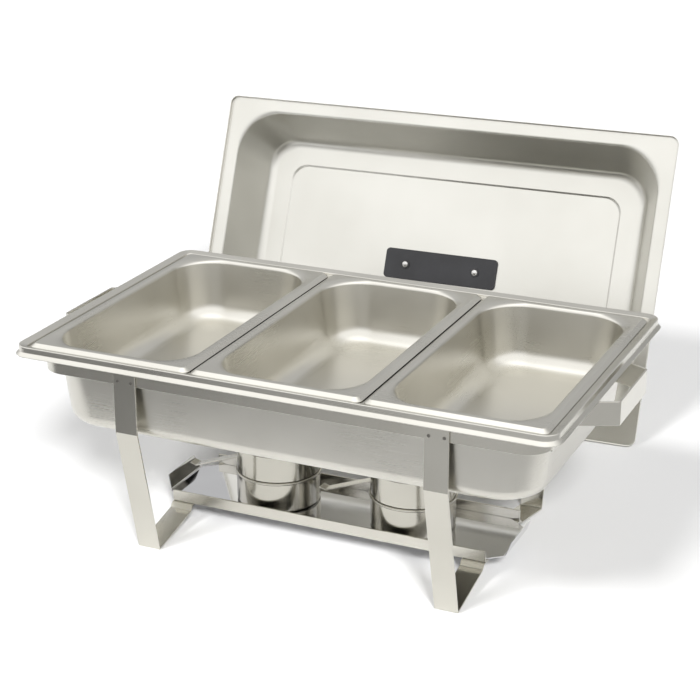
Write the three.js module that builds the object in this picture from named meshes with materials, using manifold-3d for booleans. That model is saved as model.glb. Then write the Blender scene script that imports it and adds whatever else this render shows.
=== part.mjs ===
// Full-size chafing dish: folded strip-steel stand, water pan, three food pans,
// fuel tray with two covered fuel burners, and the lid standing behind the stand.
// Millimetres, +Z up, +X along the long side, -Y towards the person who serves.

import * as THREE from 'three';
import { mergeVertices } from 'three/addons/utils/BufferGeometryUtils.js';
import Module from 'manifold-3d';

const wasm = await Module();
wasm.setup();

// ---- clearances -------------------------------------------------------------
const TOUCH = 0.3;            // gap between two pieces that rest on each other
const SLIP = 0.8;             // gap round a pan that drops into an opening
const PIN_SLIP = 0.15;        // radial gap round a rivet or a screw
const HEAD_SLIP = 0.1;        // gap under the head of a rivet
const DRILL_REACH = 3;        // how far a drill runs past the metal it cuts
const BAND_SLIP = 0.9;        // gap between the well of the water pan and the bands

// ---- stand ------------------------------------------------------------------
const STRIP_WIDTH = 24;       // every leg, band and handle is cut from this strip
const STRIP_THICKNESS = 2;
const RIM_HEIGHT = 217;       // top edge of the water pan above the table
const LEG_SPACING = 321;      // between the centre lines of a pair of legs
const LEG_BEND_HEIGHT = 138;  // where the upright leg turns in towards the foot
const FOOT_SPREAD = 246;      // between the front and the back foot folds
const RETURN_RISE = 14;       // height of the strip where it reaches the ledge step
const STEP_RUN = 4.5;         // how far the step of the ledge leans in
const LEDGE_TOP = 19.5;       // the tray and the rails stand at this height
const LEDGE_DEPTH = 17;
const LEDGE_MARGIN = 2;       // ledge in front of the rail that stands on it
const BAND_CORNER = 27;       // outer corner radius of the bands
const BAND_TAIL = 10;         // straight end of a band past its corner
const RAIL_HEIGHT = 11.5;
const HANDLE_REACH = 38;      // how far a side handle stands out from its strip
const HANDLE_GRIP = 90;       // length of the straight grip of a side handle
const HANDLE_ROOT = 124;      // length of the opening that the handle spans
const SIDE_STRIP_END = 2;     // from the end of a side strip to the bend of the band
const RIVET_RADIUS = 1.2;
const RIVET_HEAD_RADIUS = 1.8;
const RIVET_HEAD = 0.6;
const RIVET_TAIL = 0.6;       // shank left proud on the inside
const RIVET_PITCH = 15;       // between the two rivets of a leg
const RIVET_INSET = 4.5;      // from the lower edge of the band to the rivets

// ---- water pan --------------------------------------------------------------
const SHEET = 1;              // sheet thickness of every pan and of the lid
const RIM_LENGTH = 550;       // top edge of the rim
const RIM_DEPTH = 343;
const RIM_CORNER = 15;
const RIM_LAND = 9;           // sloping land between the top edge and the recess
const LAND_RISE = 2.2;
const RECESS = 4.6;           // from the top edge down to the ledge for the food pans
const SKIRT = 6;              // upright part of the outer rim
const LIP_OUT = 3.6;          // flare at the foot of the skirt
const LIP_DROP = 3;
const LIP_EDGE = 0.7;
const WELL_DEPTH = 86;        // from the top edge to the inner floor
const WELL_TAPER_X = 8;       // each side, from the top of the well to its floor
const WELL_TAPER_Y = 7;
const WELL_CORNER = 42;
const WELL_FLOOR_ROUND = 13;

// ---- food pans --------------------------------------------------------------
const FOOD_PANS = 3;
const FOOD_DEPTH = 65;
const FOOD_GAP = 1.5;         // between the hems of neighbours
const FOOD_FLANGE = 12.6;     // from the hem to the opening of a food pan
const FOOD_HEM_RUN = 4.8;
const FOOD_HEM_DROP = 3.2;
const FOOD_CORNER = 9;
const FOOD_MOUTH_CORNER = 44;
const FOOD_TAPER = 9;
const FOOD_MOUTH_ROUND = 4;
const FOOD_FLOOR_ROUND = 20;

// ---- fuel tray and burners --------------------------------------------------
const TRAY_LENGTH = 372;      // of its flat floor
const TRAY_SHEET = 1;
const TRAY_LIP = 15;
const TRAY_LIP_FLARE = 5;
const TRAY_CHAMFER = 24;
const BURNER_Y = 1;
const CUP_RADIUS = 43.5;
const CUP_ROOM = 3;           // between the bead of a cup and the nearer rail
const BURNER_ROOM = 6;        // between the tip of a strip handle and the next burner
const CUP_HEIGHT = 34;
const CUP_WALL = 0.8;
const CUP_BEAD = 1.5;         // radius of the rolled edge of the cup
const CUP_FOOT_ROUND = 3;
const CAN_GAP = 1.2;          // round the fuel can
const CAN_HEIGHT = 54;
const CAN_MOUTH = 20;
const CAN_SEAM = 2.4;         // height of the rolled seam above the top of the tin
const CAN_NECK = 2.2;         // height of the neck round the gel
const COVER_HEIGHT = 29;      // above the bead of the cup
const COVER_COLLAR = 6;       // part of the cover that drops into the cup
const COVER_HOLE = 22;
const COVER_EDGE = 2.4;       // radius of the rounded top edge of the cover
const COVER_SLIP = 0.5;       // radial gap between the collar and the cup
const SHUTTER_RADIUS = 25;
const SHUTTER_ARM = 33;       // from the burner's axis to the shutter's rivet
const SHUTTER_SHEET = 1;
const SHUTTER_EAR = 6;        // half width of the ear round its rivet
const SHUTTER_TONGUE = 5;     // half width of the tongue that a finger pushes
const TONGUE_REACH = 8;
const SMALL_RIVET = 1.5;
const SMALL_HEAD = 2.8;
const SMALL_HEAD_HEIGHT = 0.8;
const GRIP_WIDTH = 12;        // strip handle of a burner cover
const GRIP_THICKNESS = 1.2;
const GRIP_REACH = 58;        // from the cover to the end of the strip
const GRIP_FALL = 21;         // the strip slopes down by this much
const GRIP_FOOT = 11;         // upright end that is riveted to the cover
const GRIP_LIFT = 4;          // from the seat of the cover to that foot
const GRIP_TIP = 7;           // flat tip, turned up a little
const GRIP_TIP_RISE = 2;
const GRIP_BEND = 2;

// ---- lid --------------------------------------------------------------------
const LID_OVERLAP = 7.5;      // lid hem outside the top edge of the rim
const LID_HEM = 4;
const LID_FLANGE = 15.5;
const LID_CORNER = 10;
const LID_HEIGHT = 61;        // from the flange to the roof
const LID_TAPER = 25;
const LID_MOUTH_CORNER = 54;
const LID_ROOF_CORNER = 36;
const LID_ROOF_ROUND = 8;
const PANEL_INSET = 30;       // raised panel inside the roof's edge
const PANEL_CORNER = 20;
const PANEL_RISE = 1.3;
const PANEL_STEP = 2;         // slope round the raised panel
const LID_BEND = 2.4;         // from the flange into the wall
const HEM_CHAMFER = 0.7;
const PLATE_LENGTH = 144;     // inner backing plate of the lid handle
const PLATE_WIDTH = 37;
const PLATE_THICKNESS = 2;
const PLATE_CORNER = 5;
const SCREW_PITCH = 90;
const SCREW_RADIUS = 2.2;
const SCREW_HEAD_RADIUS = 4;
const SCREW_HEAD = 2.4;
const SCREW_REACH = 14;       // into the foot of the handle
const WASHER_RADIUS = 5.4;
const WASHER_THICKNESS = 1;
const LID_HANDLE_WIDTH = 24;
const LID_HANDLE_HEIGHT = 38;
const LID_HANDLE_BAR = 12;
const HANDLE_FOOT_IN = 11;    // foot of the handle, from its screw towards the middle
const HANDLE_FOOT_OUT = 17;   // and towards its end
const HANDLE_ROUND = 12;
const HANDLE_DRAFT = 2;
const SEAT_SLIP = 0.1;
const LID_LEAN = THREE.MathUtils.degToRad(22.7);   // back from upright
const LID_YAW = THREE.MathUtils.degToRad(1.8);
const LID_SHIFT = -67;        // along X, from the middle of the stand
const LID_STANDOFF = 307;     // along Y, from the middle of the stand to its foot

// ---- mesh fineness ----------------------------------------------------------
const CORNER_STEPS = 5;
const ROUND_STEPS = 3;
const LATHE_STEPS = 28;
const HOLE_STEPS = 10;

// ---- materials --------------------------------------------------------------
const satinSteel = () => new THREE.MeshStandardMaterial({ color: 0xb9b5a8, roughness: 0.34, metalness: 1 });
const stripSteel = () => new THREE.MeshStandardMaterial({ color: 0xb4b1a5, roughness: 0.22, metalness: 1 });
const mirrorSteel = () => new THREE.MeshStandardMaterial({ color: 0xc2c2c4, roughness: 0.06, metalness: 1 });
const tinplate = () => new THREE.MeshStandardMaterial({ color: 0xa9aaab, roughness: 0.3, metalness: 1 });
const screwSteel = () => new THREE.MeshStandardMaterial({ color: 0xb0b0b0, roughness: 0.25, metalness: 1 });
const blackPlastic = () => new THREE.MeshStandardMaterial({ color: 0x1b1c1e, roughness: 0.5, metalness: 0 });

// ---- solids and cuts --------------------------------------------------------
function toManifold(geometry) {
  const merged = mergeVertices(stripped(geometry));
  return new wasm.Manifold(new wasm.Mesh({
    numProp: 3,
    vertProperties: new Float32Array(merged.attributes.position.array),
    triVerts: new Uint32Array(merged.index.array),
  }));
}

function stripped(geometry) {
  const copy = geometry.clone();
  copy.deleteAttribute('normal');
  copy.deleteAttribute('uv');
  return copy;
}

function toGeometry(manifold) {
  const mesh = manifold.getMesh();
  const geometry = new THREE.BufferGeometry();
  geometry.setAttribute('position', new THREE.BufferAttribute(new Float32Array(mesh.vertProperties), 3));
  geometry.setIndex(new THREE.BufferAttribute(new Uint32Array(mesh.triVerts), 1));
  geometry.computeVertexNormals();
  return geometry;
}

function cut(geometry, tools) {
  return toGeometry(tools.reduce((body, tool) => body.subtract(toManifold(tool)), toManifold(geometry)));
}

// A round rod from a to b, used as a drill.
function rod(radius, a, b, steps = HOLE_STEPS) {
  const length = a.distanceTo(b);
  const geometry = new THREE.CylinderGeometry(radius, radius, length, steps);
  const along = b.clone().sub(a).normalize();
  const turn = new THREE.Quaternion().setFromUnitVectors(new THREE.Vector3(0, 1, 0), along);
  geometry.applyQuaternion(turn);
  return geometry.translate((a.x + b.x) / 2, (a.y + b.y) / 2, (a.z + b.z) / 2);
}

const at = (x, y, z) => new THREE.Vector3(x, y, z);

// One ring of points round a rectangle with round corners, anticlockwise.
function ring({ x, y, r }) {
  const points = [];
  const centres = [[1, 1], [-1, 1], [-1, -1], [1, -1]];
  centres.forEach(([sx, sy], quarter) => {
    for (let i = 0; i <= CORNER_STEPS; i += 1) {
      const angle = (quarter + i / CORNER_STEPS) * Math.PI / 2;
      points.push([sx * (x - r) + r * Math.cos(angle), sy * (y - r) + r * Math.sin(angle)]);
    }
  });
  return points;
}

// A pressed pan or lid: rings from the middle of its top face, over the edge,
// to the middle of its lower face, with the two middles closed by fans.
function pressing(rings) {
  const count = 4 * (CORNER_STEPS + 1);
  const positions = [0, 0, rings[0].z];
  rings.forEach((level) => ring(level).forEach(([x, y]) => positions.push(x, y, level.z)));
  positions.push(0, 0, rings[rings.length - 1].z);
  const last = positions.length / 3 - 1;
  const index = [];
  for (let i = 0; i < count; i += 1) {
    const next = (i + 1) % count;
    index.push(0, 1 + i, 1 + next);
    index.push(last, last - count + next, last - count + i);
    for (let k = 0; k + 1 < rings.length; k += 1) {
      const a = 1 + k * count;
      const b = a + count;
      index.push(a + i, b + i, b + next, a + i, b + next, a + next);
    }
  }
  const geometry = new THREE.BufferGeometry();
  geometry.setAttribute('position', new THREE.Float32BufferAttribute(positions, 3));
  geometry.setIndex(index);
  geometry.computeVertexNormals();
  return geometry;
}

// Rings of a rounded edge between two levels of a pressing. The edge turns from
// level `from` to level `to`; `bulge` is the corner that the two faces meet in.
function rounded(from, bulge, to, steps = ROUND_STEPS) {
  const levels = [];
  const mix = (key, t) => (1 - t) ** 2 * from[key] + 2 * t * (1 - t) * bulge[key] + t ** 2 * to[key];
  for (let i = 0; i <= steps; i += 1) {
    const t = i / steps;
    levels.push({ x: mix('x', t), y: mix('y', t), r: mix('r', t), z: mix('z', t) });
  }
  return levels;
}

const grow = (level, by, z) => ({
  x: level.x + by, y: level.y + by, r: Math.max(level.r + by, 0.6), z,
});

// Outline of a strip of even thickness along an open line of points.
function stripShape(line, thickness) {
  const half = thickness / 2;
  const normals = line.slice(1).map((p, i) => {
    const d = new THREE.Vector2(p[0] - line[i][0], p[1] - line[i][1]).normalize();
    return new THREE.Vector2(-d.y, d.x);
  });
  const side = (sign) => line.map((p, i) => {
    const before = normals[Math.max(i - 1, 0)];
    const after = normals[Math.min(i, normals.length - 1)];
    const mitre = before.clone().add(after).normalize();
    const reach = sign * half / mitre.dot(after);
    return new THREE.Vector2(p[0] + mitre.x * reach, p[1] + mitre.y * reach);
  });
  return new THREE.Shape([...side(-1), ...side(1).reverse()]);
}

// Points of an arc, for the bends of a strip line.
function arc(cx, cy, radius, start, end, steps) {
  return Array.from({ length: steps + 1 }, (_, i) => {
    const angle = THREE.MathUtils.degToRad(start + (end - start) * i / steps);
    return [cx + radius * Math.cos(angle), cy + radius * Math.sin(angle)];
  });
}

function extrude(shape, depth) {
  return new THREE.ExtrudeGeometry(shape, { depth, bevelEnabled: false, curveSegments: 6 });
}

// An outline drawn in Y and Z, extruded to both sides of X = 0.
function extrudeAlongX(shape, width) {
  const geometry = extrude(shape, width).translate(0, 0, -width / 2);
  return geometry.applyMatrix4(new THREE.Matrix4().makeBasis(at(0, 1, 0), at(0, 0, 1), at(1, 0, 0)));
}

// An outline drawn in X and Z, extruded to both sides of Y = 0.
function extrudeAlongY(shape, width) {
  const geometry = extrude(shape, width).translate(0, 0, -width / 2);
  return geometry.rotateX(Math.PI / 2);
}

function lathe(profile, steps = LATHE_STEPS) {
  const geometry = new THREE.LatheGeometry(profile.map(([r, z]) => new THREE.Vector2(r, z)), steps);
  return geometry.rotateX(Math.PI / 2);
}

// A rivet or screw along +Z: a domed head below z = 0 and a shank above it.
function headed(shankRadius, shank, headRadius, head, tailRadius = shankRadius, tail = 0) {
  const profile = [[0, -head], [headRadius * 0.7, -head * 0.8], [headRadius, 0], [shankRadius, 0]];
  profile.push([shankRadius, shank]);
  if (tail > 0) profile.push([tailRadius, shank], [tailRadius * 0.8, shank + tail]);
  profile.push([0, shank + tail]);
  return lathe(profile, HOLE_STEPS);
}

const model = new THREE.Group();

function add(parent, name, geometry, material, place = {}) {
  const mesh = new THREE.Mesh(geometry, material);
  mesh.name = name;
  mesh.position.copy(place.position ?? at(0, 0, 0));
  mesh.rotation.copy(place.rotation ?? new THREE.Euler());
  parent.add(mesh);
  return mesh;
}

// ---- levels and planes that several pieces share -------------------------------
const ledgeForPans = RIM_HEIGHT - RECESS;
const bandTop = ledgeForPans - SHEET - TOUCH;
const bandBottom = bandTop - STRIP_WIDTH;
const lipBottom = RIM_HEIGHT - SKIRT - LIP_DROP - LIP_EDGE;
const sideStripBottom = lipBottom - SLIP - STRIP_WIDTH;

const railSpacing = 2 * (CUP_RADIUS + CUP_BEAD + BURNER_Y + CUP_ROOM) + STRIP_THICKNESS;
const burnerSpacing = 2 * CUP_RADIUS + GRIP_REACH + BURNER_ROOM;

const recessX = RIM_LENGTH / 2 - RIM_LAND;
const recessY = RIM_DEPTH / 2 - RIM_LAND;
const foodHemX = (2 * (recessX - SLIP) - (FOOD_PANS - 1) * FOOD_GAP) / FOOD_PANS / 2;
const foodHemY = recessY - SLIP;
const foodPitch = 2 * foodHemX + FOOD_GAP;
const foodMouthX = foodHemX - FOOD_FLANGE;
const foodMouthY = foodHemY - FOOD_FLANGE;
const wellX = (FOOD_PANS - 1) / 2 * foodPitch + foodMouthX + SHEET + SLIP;
const wellY = foodMouthY + SHEET + SLIP;

const bandInnerY = wellY + SHEET + BAND_SLIP;
const bandOuterY = bandInnerY + STRIP_THICKNESS;
const sideStripInnerX = wellX + SHEET + BAND_SLIP;
const bandOuterX = sideStripInnerX + 2 * STRIP_THICKNESS + TOUCH;
const legY = bandOuterY + TOUCH + STRIP_THICKNESS / 2;

// ---- stand --------------------------------------------------------------------
function legLine(footZ) {
  const foot = -FOOT_SPREAD / 2;
  const ledgeZ = LEDGE_TOP - STRIP_THICKNESS / 2;
  const ledgeStart = -(railSpacing / 2 + STRIP_THICKNESS / 2 + LEDGE_MARGIN);
  return [
    [-legY, bandTop],
    [-legY, LEG_BEND_HEIGHT],
    [foot, footZ],
    [ledgeStart - STEP_RUN, RETURN_RISE],
    [ledgeStart, ledgeZ],
    [ledgeStart + LEDGE_DEPTH, ledgeZ],
  ];
}

function leg() {
  const lowest = Math.min(...stripShape(legLine(0), STRIP_THICKNESS).getPoints().map((p) => p.y));
  const body = extrudeAlongX(stripShape(legLine(-lowest), STRIP_THICKNESS), STRIP_WIDTH);
  return cut(body, rivetPlaces.map((x) => rivetDrill(x)));
}

const rivetPlaces = [-RIVET_PITCH / 2, RIVET_PITCH / 2];
const rivetZ = bandBottom + RIVET_INSET;
const legOuterY = legY + STRIP_THICKNESS / 2;

function rivetDrill(x) {
  const outside = at(x, -legOuterY - DRILL_REACH, rivetZ);
  return rod(RIVET_RADIUS + PIN_SLIP, outside, at(x, -bandInnerY + DRILL_REACH, rivetZ));
}

const bandCentreX = bandOuterX - STRIP_THICKNESS / 2;
const bandCentreY = bandOuterY - STRIP_THICKNESS / 2;
const bandBend = BAND_CORNER - STRIP_THICKNESS / 2;

function band() {
  const cornerX = bandCentreX - bandBend;
  const cornerY = bandCentreY - bandBend;
  const line = [
    [-bandCentreX, -cornerY + BAND_TAIL],
    ...arc(-cornerX, -cornerY, bandBend, 180, 270, 6),
    ...arc(cornerX, -cornerY, bandBend, 270, 360, 6),
    [bandCentreX, -cornerY + BAND_TAIL],
  ];
  const body = extrude(stripShape(line, STRIP_THICKNESS), STRIP_WIDTH).translate(0, 0, bandBottom);
  const drills = [-1, 1].flatMap((side) => rivetPlaces.map((x) => rivetDrill(side * LEG_SPACING / 2 + x)));
  return cut(body, drills);
}

function sideHandle() {
  const stripX = sideStripInnerX + STRIP_THICKNESS / 2;
  const end = bandCentreY - bandBend - SIDE_STRIP_END;
  const line = [
    [stripX, -end],
    [stripX, -HANDLE_ROOT / 2],
    [stripX + HANDLE_REACH, -HANDLE_GRIP / 2],
    [stripX + HANDLE_REACH, HANDLE_GRIP / 2],
    [stripX, HANDLE_ROOT / 2],
    [stripX, end],
  ];
  return extrude(stripShape(line, STRIP_THICKNESS), STRIP_WIDTH).translate(0, 0, sideStripBottom);
}

function legRivet() {
  const grip = legOuterY - bandInnerY;
  return headed(RIVET_RADIUS, grip + RIVET_TAIL, RIVET_HEAD_RADIUS, RIVET_HEAD).rotateX(-Math.PI / 2);
}

const halfTurn = Math.PI;
const backwards = new THREE.Euler(0, 0, halfTurn);

function buildStand() {
  const stand = new THREE.Group();
  add(stand, 'front_band', band(), stripSteel());
  add(stand, 'back_band', band(), stripSteel(), { rotation: backwards });
  add(stand, 'side_handle_right', sideHandle(), stripSteel());
  add(stand, 'side_handle_left', sideHandle(), stripSteel(), { rotation: backwards });
  const legShape = leg();
  const rivetShape = legRivet();
  for (const [end, turn] of [['front', 0], ['back', halfTurn]]) {
    for (const [hand, side] of [['left', -1], ['right', 1]]) {
      const x = side * LEG_SPACING / 2;
      const rotation = new THREE.Euler(0, 0, turn);
      add(stand, `leg_${end}_${hand}`, legShape, stripSteel(), { position: at(x, 0, 0), rotation });
      const row = end === 'front' ? -1 : 1;
      rivetPlaces.forEach((offset, i) => {
        const position = at(x + offset, row * (legOuterY + HEAD_SLIP), rivetZ);
        const name = `leg_rivet_${end}_${hand}_${i + 1}`;
        add(stand, name, rivetShape, screwSteel(), { position, rotation });
      });
    }
    const rail = new THREE.BoxGeometry(LEG_SPACING + STRIP_WIDTH, STRIP_THICKNESS, RAIL_HEIGHT);
    const railY = (end === 'front' ? -1 : 1) * railSpacing / 2;
    const railZ = LEDGE_TOP + TOUCH + RAIL_HEIGHT / 2;
    add(stand, `${end}_rail`, rail, stripSteel(), { position: at(0, railY, railZ) });
  }
  return stand;
}

// ---- water pan ------------------------------------------------------------------
function waterPan() {
  const top = { x: RIM_LENGTH / 2, y: RIM_DEPTH / 2, r: RIM_CORNER, z: RIM_HEIGHT };
  const skirtFoot = RIM_HEIGHT - SKIRT;
  const step = grow(top, -RIM_LAND, RIM_HEIGHT - LAND_RISE);
  const floorZ = RIM_HEIGHT - WELL_DEPTH;
  const mouth = { x: wellX, y: wellY, r: WELL_CORNER, z: ledgeForPans };
  const floorEdge = {
    x: wellX - WELL_TAPER_X, y: wellY - WELL_TAPER_Y, r: WELL_CORNER, z: floorZ,
  };
  const wallFoot = grow(floorEdge, 1, floorZ + WELL_FLOOR_ROUND);
  const floorStart = grow(floorEdge, -WELL_FLOOR_ROUND, floorZ);
  const face = [
    ...rounded(floorStart, floorEdge, wallFoot),
    ...rounded(grow(mouth, 0, ledgeForPans - 2), mouth, grow(mouth, 2, ledgeForPans), 2),
    grow(step, 0, ledgeForPans),
    grow(step, 0.4, step.z),
    grow(top, -0.6, RIM_HEIGHT),
    grow(top, 0, RIM_HEIGHT - 0.5),
    grow(top, 0, skirtFoot),
    grow(top, LIP_OUT, skirtFoot - LIP_DROP),
  ];
  const back = [
    grow(top, LIP_OUT - 0.5, skirtFoot - LIP_DROP - LIP_EDGE),
    grow(top, -SHEET, skirtFoot - 0.5),
    grow(top, -SHEET, RIM_HEIGHT - SHEET - 0.5),
    grow(step, SHEET + 0.4, step.z - SHEET),
    grow(step, SHEET, ledgeForPans - SHEET),
    ...rounded(grow(mouth, SHEET + 1, ledgeForPans - SHEET), grow(mouth, SHEET, ledgeForPans - SHEET),
      grow(mouth, SHEET, ledgeForPans - SHEET - 1), 2),
    ...rounded(grow(wallFoot, SHEET, wallFoot.z), grow(floorEdge, SHEET, floorZ - SHEET),
      grow(floorStart, 0, floorZ - SHEET)),
  ];
  return pressing([...face, ...back]);
}

// ---- food pans --------------------------------------------------------------------
const foodFlangeZ = ledgeForPans + TOUCH + SHEET + FOOD_HEM_DROP;

function foodPan() {
  const hem = { x: foodHemX, y: foodHemY, r: FOOD_CORNER, z: foodFlangeZ };
  const mouth = { x: foodMouthX, y: foodMouthY, r: FOOD_MOUTH_CORNER, z: foodFlangeZ };
  const floorZ = foodFlangeZ - FOOD_DEPTH;
  const floorEdge = grow(mouth, -FOOD_TAPER, floorZ);
  const wallFoot = grow(floorEdge, 2, floorZ + FOOD_FLOOR_ROUND);
  const floorStart = grow(floorEdge, -FOOD_FLOOR_ROUND, floorZ);
  const hemFoot = foodFlangeZ - FOOD_HEM_DROP;
  const face = [
    ...rounded(floorStart, floorEdge, wallFoot, ROUND_STEPS + 1),
    ...rounded(grow(mouth, 0, foodFlangeZ - FOOD_MOUTH_ROUND), mouth,
      grow(mouth, FOOD_MOUTH_ROUND, foodFlangeZ), 2),
    grow(hem, -FOOD_HEM_RUN, foodFlangeZ),
    grow(hem, 0, hemFoot),
  ];
  const back = [
    grow(hem, -0.2, hemFoot - SHEET),
    grow(hem, -FOOD_HEM_RUN, foodFlangeZ - SHEET),
    ...rounded(grow(mouth, FOOD_MOUTH_ROUND, foodFlangeZ - SHEET), grow(mouth, SHEET, foodFlangeZ - SHEET),
      grow(mouth, SHEET, foodFlangeZ - FOOD_MOUTH_ROUND), 2),
    ...rounded(grow(wallFoot, SHEET, wallFoot.z), grow(floorEdge, SHEET, floorZ - SHEET),
      grow(floorStart, 0, floorZ - SHEET), ROUND_STEPS + 1),
  ];
  return pressing([...face, ...back]);
}

function buildPans() {
  const pans = new THREE.Group();
  add(pans, 'water_pan', waterPan(), satinSteel());
  const shape = foodPan();
  ['left', 'middle', 'right'].forEach((place, i) => {
    const position = at((i - (FOOD_PANS - 1) / 2) * foodPitch, 0, 0);
    add(pans, `food_pan_${place}`, shape, satinSteel(), { position });
  });
  return pans;
}

// ---- fuel tray ----------------------------------------------------------------------
const trayBottom = LEDGE_TOP + TOUCH;
const trayTop = trayBottom + TRAY_SHEET;
const trayHalfY = railSpacing / 2 - STRIP_THICKNESS / 2 - TOUCH;

function fuelTray() {
  const floor = TRAY_LENGTH / 2;
  const sheetZ = trayBottom + TRAY_SHEET / 2;
  const tip = floor + TRAY_LIP_FLARE;
  const line = [[-tip, sheetZ + TRAY_LIP], [-floor, sheetZ], [floor, sheetZ], [tip, sheetZ + TRAY_LIP]];
  const sheet = extrudeAlongY(stripShape(line, TRAY_SHEET), 2 * trayHalfY);
  const farX = tip + TRAY_SHEET;
  const near = farX - TRAY_CHAMFER - TRAY_LIP_FLARE;
  const low = trayHalfY - TRAY_CHAMFER;
  const corners = [[1, 1], [-1, 1], [-1, -1], [1, -1]];
  const outline = corners.flatMap(([sx, sy]) => {
    const side = new THREE.Vector2(sx * near, sy * trayHalfY);
    const end = new THREE.Vector2(sx * farX, sy * low);
    return sx * sy > 0 ? [end, side] : [side, end];
  });
  const height = TRAY_LIP + 2 * TRAY_LIP_FLARE;
  const plan = extrude(new THREE.Shape(outline), height).translate(0, 0, trayBottom - TRAY_LIP_FLARE);
  return toGeometry(toManifold(sheet).intersect(toManifold(plan)));
}

// ---- burners ------------------------------------------------------------------------
const cupFloor = trayTop + TOUCH;
const cupTop = cupFloor + CUP_HEIGHT;
const coverSeat = cupTop + TOUCH;
const coverTop = coverSeat + COVER_HEIGHT;
const cupInner = CUP_RADIUS - CUP_WALL;
const collarRadius = cupInner - COVER_SLIP;
const coverRadius = CUP_RADIUS - 0.2;         // just inside the bead of the cup
const coverInner = coverRadius - CUP_WALL;
const collarInner = collarRadius - CUP_WALL;

function burnerCup() {
  const beadMiddle = cupTop - CUP_BEAD;
  const bead = arc(CUP_RADIUS, beadMiddle, CUP_BEAD, -70, 120, 5);
  return lathe([
    [0, cupFloor], [CUP_RADIUS - CUP_FOOT_ROUND, cupFloor],
    [CUP_RADIUS - 0.3 * CUP_FOOT_ROUND, cupFloor + 0.3 * CUP_FOOT_ROUND],
    [CUP_RADIUS, cupFloor + CUP_FOOT_ROUND], ...bead, [cupInner, cupTop - CUP_WALL],
    [cupInner, cupFloor + CUP_FOOT_ROUND], [cupInner - CUP_FOOT_ROUND + CUP_WALL, cupFloor + CUP_WALL],
    [0, cupFloor + CUP_WALL],
  ]);
}

// A full tin: rolled seams top and bottom and a raised neck round the gel.
function fuelCan() {
  const radius = collarRadius - CUP_WALL - CAN_GAP;
  const foot = cupFloor + CUP_WALL + TOUCH;
  const top = foot + CAN_HEIGHT;
  const lidZ = top - CAN_SEAM;
  return lathe([
    [0, foot + 1], [radius - CAN_SEAM, foot + 1], [radius - 1.8, foot], [radius - 0.6, foot],
    [radius, foot + 1.2], [radius, top - 1.2], [radius - 0.6, top], [radius - 1.8, top],
    [radius - CAN_SEAM, lidZ], [CAN_MOUTH + CAN_NECK, lidZ], [CAN_MOUTH, lidZ + CAN_NECK],
    [CAN_MOUTH - CUP_WALL, lidZ + CAN_NECK], [CAN_MOUTH - CUP_WALL, lidZ], [0, lidZ],
  ]);
}

const grippedZ = coverSeat + GRIP_LIFT + GRIP_FOOT / 2;
const shutterRivetZ = coverTop + TOUCH + SHUTTER_SHEET;

function handleDrill(x) {
  return rod(SMALL_RIVET + PIN_SLIP, at(x - DRILL_REACH, 0, grippedZ), at(x + DRILL_REACH, 0, grippedZ));
}

function pivotDrill() {
  const low = at(0, SHUTTER_ARM, coverTop - DRILL_REACH);
  return rod(SMALL_RIVET + PIN_SLIP, low, at(0, SHUTTER_ARM, coverTop + DRILL_REACH));
}

function burnerCover() {
  const body = lathe([
    [COVER_HOLE, coverTop - CUP_WALL], [coverRadius - COVER_EDGE, coverTop - CUP_WALL],
    [coverInner, coverTop - COVER_EDGE], [coverInner, coverSeat + CUP_WALL],
    [collarInner, coverSeat + CUP_WALL / 2], [collarInner, coverSeat - COVER_COLLAR],
    [collarRadius, coverSeat - COVER_COLLAR], [collarRadius, coverSeat], [coverRadius, coverSeat],
    [coverRadius, coverTop - COVER_EDGE], [coverRadius - 0.3 * COVER_EDGE, coverTop - 0.3 * COVER_EDGE],
    [coverRadius - COVER_EDGE, coverTop], [COVER_HOLE, coverTop], [COVER_HOLE, coverTop - CUP_WALL],
  ]);
  return cut(body, [handleDrill(-coverRadius), pivotDrill()]);
}

// Strip handle: a foot riveted to the cover, then a slope down and a flat tip.
function burnerHandle() {
  const foot = -(coverRadius + TOUCH + GRIP_THICKNESS / 2);
  const bottom = grippedZ - GRIP_FOOT / 2;
  const tip = foot - GRIP_REACH;
  const tipZ = bottom - GRIP_FALL + GRIP_TIP_RISE;
  const line = [
    [foot, grippedZ + GRIP_FOOT / 2], [foot, bottom + GRIP_BEND], [foot - GRIP_BEND, bottom],
    [tip + GRIP_TIP, tipZ], [tip, tipZ + GRIP_TIP_RISE],
  ];
  const body = extrudeAlongY(stripShape(line, GRIP_THICKNESS), GRIP_WIDTH);
  return cut(body, [handleDrill(foot)]);
}

function handleRivet() {
  const grip = TOUCH + GRIP_THICKNESS + CUP_WALL + TOUCH;
  return headed(SMALL_RIVET, grip + RIVET_TAIL, SMALL_HEAD, SMALL_HEAD_HEIGHT).rotateY(Math.PI / 2);
}

// Swivel shutter: a disc over the flame hole, an ear round its rivet and a tongue.
function shutter() {
  const shape = new THREE.Shape();
  const spread = Math.asin(SHUTTER_EAR / SHUTTER_RADIUS);
  const grip = Math.asin(SHUTTER_TONGUE / SHUTTER_RADIUS);
  const tongueY = -SHUTTER_RADIUS - TONGUE_REACH;
  shape.moveTo(-SHUTTER_EAR, SHUTTER_ARM);
  shape.absarc(0, 0, SHUTTER_RADIUS, Math.PI / 2 + spread, 1.5 * Math.PI - grip, false);
  shape.lineTo(-SHUTTER_TONGUE, tongueY);
  shape.absarc(0, tongueY, SHUTTER_TONGUE, Math.PI, 2 * Math.PI, false);
  shape.absarc(0, 0, SHUTTER_RADIUS, 1.5 * Math.PI + grip, 2.5 * Math.PI - spread, false);
  shape.lineTo(SHUTTER_EAR, SHUTTER_ARM);
  shape.absarc(0, SHUTTER_ARM, SHUTTER_EAR, 0, Math.PI, false);
  const body = extrude(shape, SHUTTER_SHEET).translate(0, 0, coverTop + TOUCH);
  return cut(body, [pivotDrill()]);
}

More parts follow.
